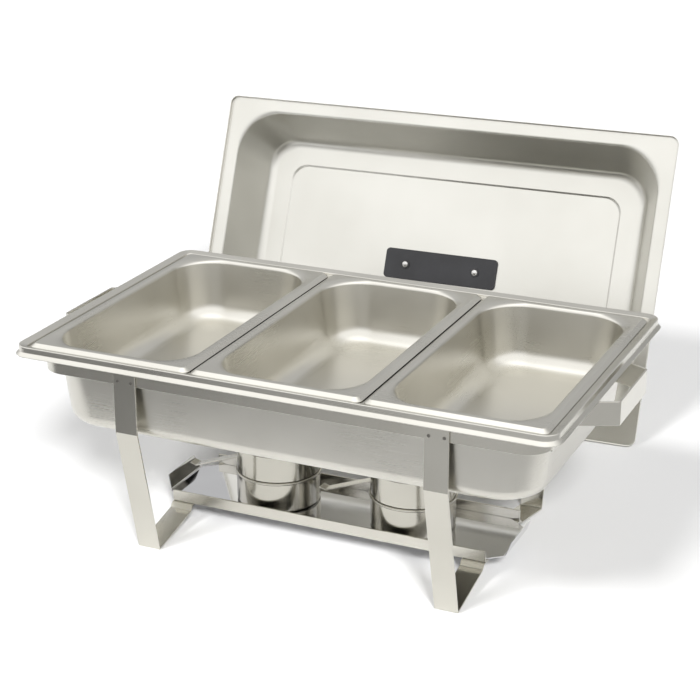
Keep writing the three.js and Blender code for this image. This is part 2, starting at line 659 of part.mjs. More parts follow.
function shutterRivet() {
  const grip = HEAD_SLIP + SHUTTER_SHEET + TOUCH + CUP_WALL;
  return headed(SMALL_RIVET, grip + RIVET_TAIL, SMALL_HEAD, SMALL_HEAD_HEIGHT).rotateX(Math.PI);
}

function buildBurner(name, x) {
  const burner = new THREE.Group();
  burner.position.set(x, BURNER_Y, 0);
  add(burner, `${name}_cup`, burnerCup(), mirrorSteel());
  add(burner, `${name}_fuel_can`, fuelCan(), tinplate());
  add(burner, `${name}_cover`, burnerCover(), mirrorSteel());
  add(burner, `${name}_handle`, burnerHandle(), stripSteel());
  const outside = -(coverRadius + TOUCH + GRIP_THICKNESS + HEAD_SLIP);
  add(burner, `${name}_handle_rivet`, handleRivet(), screwSteel(), { position: at(outside, 0, grippedZ) });
  add(burner, `${name}_shutter`, shutter(), mirrorSteel());
  const pivot = at(0, SHUTTER_ARM, shutterRivetZ + HEAD_SLIP);
  add(burner, `${name}_shutter_rivet`, shutterRivet(), screwSteel(), { position: pivot });
  return burner;
}

function buildTray() {
  const tray = new THREE.Group();
  add(tray, 'fuel_tray', fuelTray(), mirrorSteel());
  tray.add(buildBurner('burner_left', -burnerSpacing / 2));
  tray.add(buildBurner('burner_right', burnerSpacing / 2));
  return tray;
}

// ---- lid ----------------------------------------------------------------------------
// Drawn as it lies on the pan: the hem's foot is at z = 0 and the handle is on top.
const hemX = RIM_LENGTH / 2 + LID_OVERLAP;
const hemY = RIM_DEPTH / 2 + LID_OVERLAP;
const roofZ = LID_HEM + SHEET + LID_HEIGHT;
const panelTop = roofZ + PANEL_RISE;

function lidShell() {
  const hem = { x: hemX, y: hemY, r: LID_CORNER, z: 0 };
  const mouth = { x: hemX - LID_FLANGE, y: hemY - LID_FLANGE, r: LID_MOUTH_CORNER, z: LID_HEM };
  const roofEdge = {
    x: mouth.x - LID_TAPER, y: mouth.y - LID_TAPER, r: LID_ROOF_CORNER, z: roofZ,
  };
  const roofStart = grow(roofEdge, -LID_ROOF_ROUND, roofZ);
  const slope = LID_TAPER / LID_HEIGHT * LID_ROOF_ROUND;
  const bendIn = LID_TAPER / LID_HEIGHT * LID_BEND;
  const flangeZ = LID_HEM + SHEET;
  const wallTop = grow(roofEdge, slope, roofZ - LID_ROOF_ROUND);
  const panel = {
    x: roofEdge.x - PANEL_INSET, y: roofEdge.y - PANEL_INSET, r: PANEL_CORNER, z: panelTop,
  };
  const outside = [
    grow(panel, -0.75 * PANEL_STEP, panelTop),
    grow(panel, 0.25 * PANEL_STEP, roofZ),
    ...rounded(roofStart, roofEdge, wallTop),
    ...rounded(grow(mouth, -bendIn, flangeZ + LID_BEND), grow(mouth, 0, flangeZ),
      grow(mouth, 2 * bendIn, flangeZ), 2),
    grow(hem, -HEM_CHAMFER, flangeZ),
    grow(hem, 0, flangeZ - HEM_CHAMFER),
    grow(hem, 0, 0),
  ];
  const inside = [
    grow(hem, -SHEET, 0),
    grow(hem, -SHEET, LID_HEM),
    ...rounded(grow(mouth, bendIn, LID_HEM), grow(mouth, -SHEET, LID_HEM),
      grow(mouth, -SHEET - bendIn, LID_HEM + LID_BEND), 2),
    ...rounded(grow(wallTop, -SHEET, wallTop.z - 0.4), grow(roofEdge, -SHEET, roofZ - SHEET),
      grow(roofStart, -SHEET, roofZ - SHEET)),
    grow(panel, 0, roofZ - SHEET),
    grow(panel, -PANEL_STEP, panelTop - SHEET),
  ];
  return cut(pressing([...outside, ...inside]), screwPlaces.map((x) => screwDrill(x)));
}

const screwPlaces = [-SCREW_PITCH / 2, SCREW_PITCH / 2];
const plateTop = panelTop - SHEET - TOUCH;
const plateBottom = plateTop - PLATE_THICKNESS;
const handleFoot = panelTop + TOUCH;
const washerTop = plateBottom - TOUCH;
const screwSeat = washerTop - WASHER_THICKNESS - SEAT_SLIP;

function screwDrill(x) {
  return rod(SCREW_RADIUS + PIN_SLIP, at(x, 0, plateBottom - 5), at(x, 0, handleFoot + SCREW_REACH + 1));
}

function backingPlate() {
  const outline = ring({ x: PLATE_LENGTH / 2, y: PLATE_WIDTH / 2, r: PLATE_CORNER });
  const shape = new THREE.Shape(outline.map(([x, y]) => new THREE.Vector2(x, y)));
  const body = extrude(shape, PLATE_THICKNESS).translate(0, 0, plateBottom);
  return cut(body, screwPlaces.map((x) => screwDrill(x)));
}

// Bow handle: two feet on the screws and a bar that leaves room for the fingers.
function lidHandle() {
  const footIn = SCREW_PITCH / 2 - HANDLE_FOOT_IN;
  const footOut = SCREW_PITCH / 2 + HANDLE_FOOT_OUT;
  const barUnder = LID_HANDLE_HEIGHT - LID_HANDLE_BAR;
  const shape = new THREE.Shape();
  shape.moveTo(footIn, 0);
  shape.lineTo(footOut, 0);
  shape.quadraticCurveTo(footOut - HANDLE_DRAFT, LID_HANDLE_HEIGHT, footIn, LID_HANDLE_HEIGHT);
  shape.lineTo(-footIn, LID_HANDLE_HEIGHT);
  shape.quadraticCurveTo(-footOut + HANDLE_DRAFT, LID_HANDLE_HEIGHT, -footOut, 0);
  shape.lineTo(-footIn, 0);
  shape.quadraticCurveTo(-footIn, barUnder, -footIn + HANDLE_ROUND, barUnder);
  shape.lineTo(footIn - HANDLE_ROUND, barUnder);
  shape.quadraticCurveTo(footIn, barUnder, footIn, 0);
  const body = extrudeAlongY(shape, LID_HANDLE_WIDTH).translate(0, 0, handleFoot);
  return cut(body, screwPlaces.map((x) => screwDrill(x)));
}

function lidScrew() {
  return headed(SCREW_RADIUS, SCREW_REACH + handleFoot - screwSeat, SCREW_HEAD_RADIUS, SCREW_HEAD);
}

function washer() {
  const bore = SCREW_RADIUS + PIN_SLIP;
  const thick = WASHER_THICKNESS;
  return lathe([[bore, 0], [WASHER_RADIUS, 0], [WASHER_RADIUS, thick], [bore, thick], [bore, 0]], 16);
}

// The lid stands on its back hem behind the stand and leans away from it.
function buildLid() {
  const placed = new THREE.Group();
  placed.rotation.z = LID_YAW;
  const lean = new THREE.Group();
  lean.rotation.x = -(Math.PI / 2 + LID_LEAN);
  placed.add(lean);
  add(lean, 'lid_shell', lidShell(), satinSteel());
  add(lean, 'lid_handle', lidHandle(), blackPlastic());
  add(lean, 'lid_inner_plate', backingPlate(), blackPlastic());
  screwPlaces.forEach((x, i) => {
    add(lean, `lid_screw_${i + 1}`, lidScrew(), screwSteel(), { position: at(x, 0, screwSeat) });
    const position = at(x, 0, washerTop - WASHER_THICKNESS);
    add(lean, `lid_washer_${i + 1}`, washer(), blackPlastic(), { position });
  });
  const hemFoot = at(0, hemY, 0).applyEuler(lean.rotation);
  placed.position.set(LID_SHIFT, LID_STANDOFF - hemFoot.y, 0);
  placed.updateMatrixWorld(true);
  placed.position.z = -new THREE.Box3().setFromObject(placed, true).min.z;
  return placed;
}

model.add(buildStand(), buildPans(), buildTray(), buildLid());

// The origin is on the table, under the middle of the whole set.
model.updateMatrixWorld(true);
const extent = new THREE.Box3().setFromObject(model, true);
const centre = extent.getCenter(new THREE.Vector3());
model.position.set(-centre.x, -centre.y, -extent.min.z);

export default model;
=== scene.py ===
import math

import bpy
from mathutils import Matrix, Vector

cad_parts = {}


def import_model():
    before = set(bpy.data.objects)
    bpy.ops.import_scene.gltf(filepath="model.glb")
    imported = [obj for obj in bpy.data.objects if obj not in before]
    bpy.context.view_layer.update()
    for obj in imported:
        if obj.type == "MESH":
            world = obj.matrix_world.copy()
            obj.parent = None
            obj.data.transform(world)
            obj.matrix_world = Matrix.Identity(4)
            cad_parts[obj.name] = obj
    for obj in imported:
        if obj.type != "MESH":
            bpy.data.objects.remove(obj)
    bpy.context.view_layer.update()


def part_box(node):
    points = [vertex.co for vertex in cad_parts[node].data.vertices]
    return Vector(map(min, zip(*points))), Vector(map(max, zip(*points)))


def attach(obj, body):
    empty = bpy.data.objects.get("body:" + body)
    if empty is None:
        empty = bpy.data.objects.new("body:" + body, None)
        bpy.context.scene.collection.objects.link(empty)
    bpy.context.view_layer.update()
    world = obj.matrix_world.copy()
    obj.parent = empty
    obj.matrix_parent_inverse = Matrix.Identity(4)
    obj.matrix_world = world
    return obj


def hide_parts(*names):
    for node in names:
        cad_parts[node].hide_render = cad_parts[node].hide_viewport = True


# A fuel-heated chafing dish: the looks of every piece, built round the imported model.
# Metres, +Z up, +X along the long side of the stand, -Y towards the person who serves.

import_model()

# ---- sizes that the frame's boxes don't give ---------------------------------------
SHEET = 0.001                 # pans and lid
STRIP = 0.002                 # thickness of the stand's strip
STRIP_EDGE = 0.00045          # rounding of the strip's long edges
THIN_STRIP = 0.0012           # the strip handles of the burner covers

LIP_OUT = 0.0036              # flare of the rim's lip
LIP_DROP = 0.0030
SKIRT = 0.006
RIM_CORNER = 0.015
RIM_LAND = 0.009
LAND_RISE = 0.0022
RECESS = 0.0046
WELL_INSET = 0.0206           # from the rim's edge to the mouth of the well
WELL_TAPER_X = 0.008
WELL_TAPER_Y = 0.007
WELL_CORNER = 0.042
WELL_ROUND = 0.014

FOOD_DEPTH = 0.065
FOOD_FLANGE = 0.0126
FOOD_HEM_RUN = 0.0048
FOOD_HEM_DROP = 0.0032
FOOD_CORNER = 0.009
FOOD_MOUTH_CORNER = 0.044
FOOD_TAPER = 0.009
FOOD_MOUTH_ROUND = 0.005
FOOD_FLOOR_ROUND = 0.021

LEG_BEND_HEIGHT = 0.138
FOOT_SPREAD = 0.246
LEDGE_TOP = 0.0195
LEDGE_START = 0.053           # from the stand's middle to the front of a ledge
LEDGE_DEPTH = 0.017
STEP_RUN = 0.0045
RETURN_RISE = 0.014
BAND_CORNER = 0.026           # along the middle of the strip
BAND_TAIL = 0.010
HANDLE_GRIP = 0.090
HANDLE_ROOT = 0.124
HANDLE_BEND = 0.0035

TRAY_LENGTH = 0.372
TRAY_LIP = 0.015
TRAY_LIP_FLARE = 0.005
TRAY_CHAMFER = 0.024
TRAY_BEND = 0.003
TRAY_EDGE = 0.0003            # rounding of the sheet's edges
TRAY_STEP = 0.004             # longest step between sections of the tray
CUP_WALL = 0.0008
CUP_BEAD = 0.0015
CUP_FOOT = 0.003
CAN_MOUTH = 0.020
CAN_SEAM = 0.0024             # the rolled seam's height and width
CAN_FLARE = 0.0018            # the part of the seam that stands out from the wall
COVER_HOLE = 0.022
COVER_EDGE = 0.0024
COVER_COLLAR = 0.006
COLLAR_PLAY = 0.0005          # the collar's room inside the cup
GRIP_FOOT = 0.011
GRIP_FALL = 0.021
GRIP_WIDTH = 0.012
SHUTTER_RADIUS = 0.025
SHUTTER_ARM = 0.033
SHUTTER_EAR = 0.006
SHUTTER_TONGUE = 0.005
TONGUE_REACH = 0.008
SHUTTER_EDGE = 0.0003

LID_HEM = 0.004
LID_FLANGE = 0.0155
LID_CORNER = 0.010
LID_HEIGHT = 0.061
LID_TAPER = 0.025
LID_MOUTH_CORNER = 0.054
LID_ROOF_CORNER = 0.036
LID_ROOF_ROUND = 0.0125
LID_OVERLAP = 0.0075
LID_CHAMFER = 0.0007          # cuts the outer edge of the hem's bend
PANEL_INSET = 0.030
PANEL_CORNER = 0.020
PANEL_RISE = 0.0013
PLATE_SIZE = (0.144, 0.037, 0.002)
PLATE_CORNER = 0.005
PLATE_EDGE = 0.0006
SCREW_PITCH = 0.090
SCREW_HEAD = (0.004, 0.0024)          # radius, height
SCREW_SHANK = 0.0022
SCREW_REACH = 0.014
SCREW_GAP = 0.0001            # between a screw's head and its washer
WASHER = (0.0054, 0.001, 0.00235)     # radius, thickness, bore
WASHER_EDGE = 0.0003
BOW_WIDTH = 0.024
BOW_HEIGHT = 0.038
BOW_BAR = 0.012
BOW_ROUND = 0.012             # inner corners, where a foot meets the bar
BOW_EDGE = 0.0022             # rounding of the moulding's long edges
BOW_DRAFT = 0.002             # how far the outer corners lean inwards
FOOT_IN = 0.011
FOOT_OUT = 0.017
LID_LEAN = math.radians(22.7)
LID_YAW = math.radians(1.8)

LEG_RIVET = (0.00171, 0.0006, 0.0012)     # radius and height of the head, radius of the shank
BURNER_RIVET = (0.0026, 0.0008, 0.0015)
RIVET_STEPS = 32              # round a rivet, a screw or a washer

TOUCH = 0.0003                # the gap that resting pieces keep
MIN_CORNER = 0.0006           # smallest corner radius on the back of a sheet
CORNER_STEPS = 14
SIDE_STEPS = 12
LATHE_STEPS = 96
SHARP = math.radians(38)
CAN_SHARP = math.radians(60)


# ---- materials ---------------------------------------------------------------------
NOISE_RANGE = (0.3, 0.7)      # where most values of a noise lie
TINT_RANGE = (0.32, 0.68)     # the values of a noise that give the dark and the light tint
FACING_RANGE = (0.55, 0.85)   # X part of a normal at which faces change from one way of brushing to the other

BRUSH_DETAIL = 4.0
BRUSH_TINT = (0.24, 0.27)
SMUDGE_SCALE = (9, 11, 10)
SMUDGE_DETAIL = 2.0
SMUDGE_ROUGHNESS = (-0.015, 0.018)
SMUDGE_TINT = (0.1, 0.42)
WAVE_SCALE = (5.5, 4.5, 5)
WAVE_DETAIL = 1.0

GRAIN_SCALE = (1500, 1500, 1500)
GRAIN_DEPTH = 0.00004
CLOUD_SCALE = (30, 30, 30)


def shader_nodes(name):
    """A new material with its node tree, its Principled shader and object coordinates."""
    material = bpy.data.materials.new(name)
    material.use_nodes = True
    tree = material.node_tree
    shader = tree.nodes["Principled BSDF"]
    place = tree.nodes.new("ShaderNodeTexCoord")
    return material, tree, shader, place.outputs["Object"]


def noise(tree, coords, scale, detail=4.0, turn=(0, 0, 0)):
    """The value of a noise that is stretched by scale, a factor for each axis."""
    mapping = tree.nodes.new("ShaderNodeMapping")
    mapping.inputs["Rotation"].default_value = turn
    mapping.inputs["Scale"].default_value = scale
    texture = tree.nodes.new("ShaderNodeTexNoise")
    texture.inputs["Scale"].default_value = 1.0
    texture.inputs["Detail"].default_value = detail
    tree.links.new(coords, mapping.inputs["Vector"])
    tree.links.new(mapping.outputs["Vector"], texture.inputs["Vector"])
    return texture.outputs["Fac"]


def spread(tree, value, low, high):
    """Maps a noise value from its usual range onto low to high."""
    node = tree.nodes.new("ShaderNodeMapRange")
    node.inputs["From Min"].default_value = NOISE_RANGE[0]
    node.inputs["From Max"].default_value = NOISE_RANGE[1]
    node.inputs["To Min"].default_value = low
    node.inputs["To Max"].default_value = high
    tree.links.new(value, node.inputs["Value"])
    return node.outputs["Result"]


def add_values(tree, a, b):
    node = tree.nodes.new("ShaderNodeMath")
    node.operation = "ADD"
    tree.links.new(a, node.inputs[0])
    tree.links.new(b, node.inputs[1])
    return node.outputs["Value"]


def tint(tree, value, dark, light):
    """A colour between dark and light, by a noise value."""
    ramp = tree.nodes.new("ShaderNodeValToRGB")
    ramp.color_ramp.elements[0].position = TINT_RANGE[0]
    ramp.color_ramp.elements[0].color = (*dark, 1)
    ramp.color_ramp.elements[1].position = TINT_RANGE[1]
    ramp.color_ramp.elements[1].color = (*light, 1)
    tree.links.new(value, ramp.inputs["Fac"])
    return ramp.outputs["Color"]


def bump(tree, height, distance, strength=1.0, under=None):
    node = tree.nodes.new("ShaderNodeBump")
    node.inputs["Strength"].default_value = strength
    node.inputs["Distance"].default_value = distance
    tree.links.new(height, node.inputs["Height"])
    if under is not None:
        tree.links.new(under, node.inputs["Normal"])
    return node.outputs["Normal"]


def facing_x(tree):
    """0 on faces that look along Y or Z, 1 on faces that look along X."""
    geometry = tree.nodes.new("ShaderNodeTexCoord")
    split = tree.nodes.new("ShaderNodeSeparateXYZ")
    size = tree.nodes.new("ShaderNodeMath")
    size.operation = "ABSOLUTE"
    ramp = tree.nodes.new("ShaderNodeMapRange")
    ramp.inputs["From Min"].default_value = FACING_RANGE[0]
    ramp.inputs["From Max"].default_value = FACING_RANGE[1]
    tree.links.new(geometry.outputs["Normal"], split.inputs["Vector"])
    tree.links.new(split.outputs["X"], size.inputs[0])
    tree.links.new(size.outputs["Value"], ramp.inputs["Value"])
    return ramp.outputs["Result"]


def brush_lines(tree, coords, brush, turn, both_ways):
    """Fine lines along X, and along Y on the faces that look along X when both_ways is set."""
    along, across = brush
    lines = noise(tree, coords, (along, across, across), BRUSH_DETAIL, turn)
    if not both_ways:
        return lines
    crossing = noise(tree, coords, (across, along, across), BRUSH_DETAIL, turn)
    mix = tree.nodes.new("ShaderNodeMix")
    tree.links.new(facing_x(tree), mix.inputs["Factor"])
    tree.links.new(lines, mix.inputs["A"])
    tree.links.new(crossing, mix.inputs["B"])
    return mix.outputs["Result"]


def steel(name, tints, roughness, brush, depth, wave, turn=(0, 0, 0), both_ways=False):
    """Stainless steel: brush lines, rolling waves, faint smudges and a slightly uneven tint.
    brush gives the noise's scale along and across the lines, depth their height and wave the waves'."""
    material, tree, shader, coords = shader_nodes(name)
    lines = brush_lines(tree, coords, brush, turn, both_ways)
    smudges = noise(tree, coords, SMUDGE_SCALE, SMUDGE_DETAIL)
    waves = noise(tree, coords, WAVE_SCALE, WAVE_DETAIL)
    rough = add_values(tree, spread(tree, lines, *roughness), spread(tree, smudges, *SMUDGE_ROUGHNESS))
    tree.links.new(rough, shader.inputs["Roughness"])
    cloud = add_values(tree, spread(tree, lines, *BRUSH_TINT), spread(tree, smudges, *SMUDGE_TINT))
    tree.links.new(tint(tree, cloud, *tints), shader.inputs["Base Color"])
    rolled = bump(tree, waves, wave)
    tree.links.new(bump(tree, lines, depth, 1.0, rolled), shader.inputs["Normal"])
    shader.inputs["Metallic"].default_value = 1.0
    return material


def plastic(name, tints, roughness):
    """Moulded plastic with a fine spark-eroded grain."""
    material, tree, shader, coords = shader_nodes(name)
    grain = noise(tree, coords, GRAIN_SCALE, 3.0)
    cloud = noise(tree, coords, CLOUD_SCALE)
    tree.links.new(tint(tree, cloud, *tints), shader.inputs["Base Color"])
    tree.links.new(spread(tree, cloud, *roughness), shader.inputs["Roughness"])
    tree.links.new(bump(tree, grain, GRAIN_DEPTH), shader.inputs["Normal"])
    return material


LID_TURN = (LID_LEAN, 0, -LID_YAW)
PAN_TINTS = ((0.60, 0.585, 0.535), (0.66, 0.645, 0.595))
LID_TINTS = ((0.60, 0.59, 0.545), (0.68, 0.67, 0.625))
STRIP_TINTS = ((0.56, 0.545, 0.49), (0.64, 0.625, 0.57))
MIRROR_TINTS = ((0.62, 0.62, 0.63), (0.70, 0.70, 0.71))
SPUN_TINTS = ((0.46, 0.445, 0.395), (0.56, 0.545, 0.49))
TIN_TINTS = ((0.50, 0.49, 0.48), (0.62, 0.61, 0.60))
SCREW_TINTS = ((0.52, 0.51, 0.50), (0.64, 0.63, 0.62))
RIVET_TINTS = ((0.16, 0.15, 0.14), (0.24, 0.23, 0.21))
BLACK_TINTS = ((0.012, 0.012, 0.013), (0.02, 0.02, 0.022))

SHEET_BRUSH = ((9, 2400), 0.00000005, 0.0006)     # noise scales, line height, wave height
STRIP_BRUSH = ((9, 2400), 0.000001, 0.0002)
MIRROR_BRUSH = ((60, 60), 0.0000004, 0.0001)
SPUN_BRUSH = ((1500, 8), 0.000001, 0.0002)
TIN_GRAIN = ((300, 300), 0.000002, 0.0001)
SCREW_GRAIN = ((900, 900), 0.000001, 0.0001)
ALONG_Y = (0, 0, math.pi / 2)                     # turns brush lines from X to Y
ALONG_Z = (0, math.pi / 2, 0)

satin = steel("satin_steel", PAN_TINTS, (0.275, 0.295), *SHEET_BRUSH, both_ways=True)
lid_satin = steel("lid_satin_steel", LID_TINTS, (0.295, 0.315), *SHEET_BRUSH, LID_TURN)
strip_x = steel("strip_steel_along_x", STRIP_TINTS, (0.22, 0.27), *STRIP_BRUSH)
strip_y = steel("strip_steel_along_y", STRIP_TINTS, (0.13, 0.18), *STRIP_BRUSH, ALONG_Y)
strip_z = steel("strip_steel_along_z", STRIP_TINTS, (0.11, 0.15), *STRIP_BRUSH, ALONG_Z)
mirror = steel("mirror_steel", MIRROR_TINTS, (0.03, 0.055), *MIRROR_BRUSH)
spun = steel("spun_steel", SPUN_TINTS, (0.14, 0.20), *SPUN_BRUSH, ALONG_Z)
tinplate = steel("tinplate", TIN_TINTS, (0.18, 0.3), *TIN_GRAIN)
fastener = steel("screw_steel", SCREW_TINTS, (0.14, 0.22), *SCREW_GRAIN)
rivet_head = steel("rivet_steel", RIVET_TINTS, (0.3, 0.4), *SCREW_GRAIN)
black = plastic("black_plastic", BLACK_TINTS, (0.38, 0.46))


# ---- pieces ------------------------------------------------------------------------
def piece(name, vertices, faces, node, body, slot, material, sharp=SHARP):
    """A mesh object that stands for a CAD node, rides on its body and has smooth faces."""
    mesh = bpy.data.meshes.new(name)
    mesh.from_pydata([tuple(v) for v in vertices], [], faces)
    mesh.validate()
    mesh.shade_smooth()
    mesh.set_sharp_from_angle(angle=sharp)
    mesh.materials.append(material)
    obj = bpy.data.objects.new(name, mesh)
    bpy.context.scene.collection.objects.link(obj)
    weighted = obj.modifiers.new("weighted_normals", "WEIGHTED_NORMAL")
    weighted.keep_sharp = True
    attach(obj, body)
    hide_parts(node)
    return obj


def tube_faces(rows, count, closed=True):
    """Quads between rows of count points each, round the loop."""
    faces = []
    for row in range(rows - 1):
        for i in range(count if closed else count - 1):
            a, b = row * count + i, row * count + (i + 1) % count
            faces.append((a, b, b + count, a + count))
    return faces


def soften(points, radii, steps=7):
    """Rounds the inner corners of a line of points: a corner with a radius becomes an arc.
    The first and last fields of a point are its place in the section."""
    line = [Vector(points[0])]
    for before, here, after, radius in zip(points, points[1:], points[2:], radii):
        here = Vector(here)
        back, ahead = Vector(before) - here, Vector(after) - here
        back_length = math.hypot(back[0], back[-1])
        ahead_length = math.hypot(ahead[0], ahead[-1])
        along = (back[0] * ahead[0] + back[-1] * ahead[-1]) / (back_length * ahead_length)
        turn = math.pi - math.acos(max(-1.0, min(1.0, along)))
        reach = min(radius * math.tan(turn / 2), 0.49 * back_length, 0.49 * ahead_length)
        if radius <= 0:
            line.append(here)
            continue
        start = here + back * (reach / back_length)
        end = here + ahead * (reach / ahead_length)
        for i in range(steps + 1):
            t = i / steps
            line.append(start * (1 - t) ** 2 + here * (2 * t * (1 - t)) + end * t ** 2)
    line.append(Vector(points[-1]))
    return line


def section_normals(line):
    """The normal to the left of a line of points, in the plane of their first and last fields."""
    normals = []
    for i in range(len(line)):
        before, after = line[max(i - 1, 0)], line[min(i + 1, len(line) - 1)]
        across, up = after[0] - before[0], after[-1] - before[-1]
        length = math.hypot(across, up)
        normals.append((-up / length, across / length))
    return normals


def sheet_section(face, thickness, side):
    """Levels of a closed sheet: its face, a round rim, and its back at an even distance.
    side is 1 for a back to the left of the face's line and -1 for one to its right."""
    normals = section_normals(face)
    back = []
    for level, (across, up) in zip(face, normals):
        shift = side * thickness
        moved = level.copy()
        moved[0] += across * shift
        moved[1] += across * shift
        moved[2] = max(moved[2] + across * shift, MIN_CORNER)
        moved[3] += up * shift
        back.append(moved)
    edge, last = face[-1], back[-1]
    middle = (edge + last) / 2
    along = Vector((normals[-1][1], -normals[-1][0]))
    rim = []
    for i in range(1, 5):
        angle = math.pi * i / 5
        point = middle + (edge - last) / 2 * math.cos(angle)
        out = thickness / 2 * math.sin(angle)
        rim.append(point + Vector((along[0], along[0], 0, along[1])) * out)
    return face + rim + back[::-1]


def ring(level):
    """Points round a rectangle with round corners, anticlockwise. level is (x, y, radius, z)."""
    x, y, radius, z = level
    points = []
    for quarter, (sx, sy) in enumerate(((1, 1), (-1, 1), (-1, -1), (1, -1))):
        centre = Vector((sx * (x - radius), sy * (y - radius), z))
        for i in range(CORNER_STEPS + 1):
            angle = (quarter + i / CORNER_STEPS) * math.pi / 2
            points.append(centre + Vector((radius * math.cos(angle), radius * math.sin(angle), 0)))
        turn = (quarter + 1) * math.pi / 2
        nx, ny = ((-1, 1), (-1, -1), (1, -1), (1, 1))[quarter]
        after = Vector((nx * (x - radius), ny * (y - radius), z))
        after += Vector((radius * math.cos(turn), radius * math.sin(turn), 0))
        start = points[-1]
        for i in range(1, SIDE_STEPS):
            points.append(start.lerp(after, i / SIDE_STEPS))
    return points


def pressed(levels, place):
    """The closed mesh of a pressed sheet, from the middle of its face to the middle of its back."""
    rings = [ring(level) for level in levels]
    count = len(rings[0])
    vertices = [place @ point for points in rings for point in points]
    vertices.append(place @ Vector((0, 0, levels[0][3])))
    vertices.append(place @ Vector((0, 0, levels[-1][3])))
    first, last = len(vertices) - 2, len(vertices) - 1
    faces = tube_faces(len(rings), count)
    start = (len(rings) - 1) * count
    for i in range(count):
        after = (i + 1) % count
        faces.append((first, after, i))
        faces.append((last, start + i, start + after))
    return vertices, faces


def strip_section(width, thickness, edge=STRIP_EDGE):
    """The outline of a strip's section, (across, out), with its four edges rounded."""
    points = []
    for quarter, (sx, sy) in enumerate(((1, 1), (-1, 1), (-1, -1), (1, -1))):
        for i in range(4):
            angle = (quarter + i / 3) * math.pi / 2
            points.append((sx * (width / 2 - edge) + edge * math.cos(angle),
                           sy * (thickness / 2 - edge) + edge * math.sin(angle)))
    return points


def strip(line, width, thickness, place):
    """A strip bent along a line in its own plane. place(u, v, w) gives the point with w across."""
    section = strip_section(width, thickness)
    vertices = []
    for i, point in enumerate(line):
        before = (point - line[i - 1]).normalized() if i else None
        after = (line[i + 1] - point).normalized() if i + 1 < len(line) else None
        before, after = before or after, after or before
        mitre = (before + after).normalized()
        reach = 1 / max(mitre.dot(after), 0.3)
        out = Vector((-mitre[1], mitre[0])) * reach
        for across, off in section:
            spot = point + out * off
            vertices.append(place(spot[0], spot[1], across))
    count = len(section)
    faces = tube_faces(len(line), count)
    faces.append(tuple(range(count))[::-1])
    faces.append(tuple(range((len(line) - 1) * count, len(line) * count)))
    return vertices, faces


def lathe(profile, centre, turn=Matrix.Identity(3), steps=LATHE_STEPS):
    """A closed profile of (radius, height) points turned about its axis through centre."""
    vertices, rows = [], []
    for radius, height in profile:
        if radius < 1e-7:
            rows.append([len(vertices)] * steps)
            vertices.append(centre + turn @ Vector((0, 0, height)))
            continue
        rows.append(list(range(len(vertices), len(vertices) + steps)))
        for i in range(steps):
            angle = 2 * math.pi * i / steps
            spot = Vector((radius * math.cos(angle), radius * math.sin(angle), height))
            vertices.append(centre + turn @ spot)
    faces = []
    for low, high in zip(rows, rows[1:] + rows[:1]):
        for i in range(steps):
            j = (i + 1) % steps
            corners = [low[i], low[j], high[j], high[i]]
            corners = [c for k, c in enumerate(corners) if c not in corners[:k]]
            if len(corners) > 2:
                faces.append(tuple(corners))
    return vertices, faces


def plate(outline, low, high, edge, place):
    """A flat plate with rounded edges. outline(inset) gives its points, anticlockwise."""
    levels = [(edge, low), (0.3 * edge, low + 0.3 * edge), (0, low + edge),
              (0, high - edge), (0.3 * edge, high - 0.3 * edge), (edge, high)]
    vertices, count = [], 0
    for inset, height in levels:
        points = outline(inset)
        count = len(points)
        vertices += [place @ Vector((x, y, height)) for x, y in points]
    faces = tube_faces(len(levels), count)
    faces.append(tuple(range(count))[::-1])
    faces.append(tuple(range((len(levels) - 1) * count, len(levels) * count)))
    return vertices, faces


def arc_points(cx, cy, radius, start, end, steps):
    """Points of an arc in its plane, angles in degrees."""
    angles = [math.radians(start + (end - start) * i / steps) for i in range(steps + 1)]
    return [Vector((cx + radius * math.cos(a), cy + radius * math.sin(a))) for a in angles]


def middle_of(node):
    low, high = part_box(node)
    return (low + high) / 2


def half_of(node):
    low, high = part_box(node)
    return (high - low) / 2


# ---- pans --------------------------------------------------------------------------
def inset_level(half, inset, radius, z, inset_y=None):
    """A level of a pressing: half is the outer half size, inset how far inside it lies."""
    return (half[0] - inset, half[1] - (inset if inset_y is None else inset_y), radius, z)


def water_pan():
    half = half_of("water_pan") - Vector((LIP_OUT, LIP_OUT, 0))
    centre = middle_of("water_pan")
    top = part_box("water_pan")[1].z
    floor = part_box("water_pan")[0].z + SHEET
    ledge = top - RECESS
    foot = WELL_INSET + WELL_TAPER_X
    foot_y = WELL_INSET + WELL_TAPER_Y
    points = [
        inset_level(half, foot + 0.08, 0.02, floor, foot_y + 0.08),
        inset_level(half, foot, WELL_CORNER, floor, foot_y),
        inset_level(half, WELL_INSET, WELL_CORNER, ledge),
        inset_level(half, RIM_LAND, RIM_CORNER - RIM_LAND, ledge),
        inset_level(half, RIM_LAND - 0.0006, RIM_CORNER - RIM_LAND, top - LAND_RISE),
        inset_level(half, 0, RIM_CORNER, top),
        inset_level(half, 0, RIM_CORNER, top - SKIRT),
        inset_level(half, -LIP_OUT + 0.0004, RIM_CORNER + LIP_OUT, top - SKIRT - LIP_DROP),
    ]
    # foot and mouth of the well, both ends of the step, edge of the rim, foot of the skirt
    radii = [WELL_ROUND, 0.0025, 0.0007, 0.0008, 0.0011, 0.0012]
    levels = sheet_section(soften(points, radii), SHEET, -1)
    place = Matrix.Translation((centre.x, centre.y, 0))
    piece("water_pan_pressing", *pressed(levels, place), "water_pan", "water_pan", "satin_steel", satin)


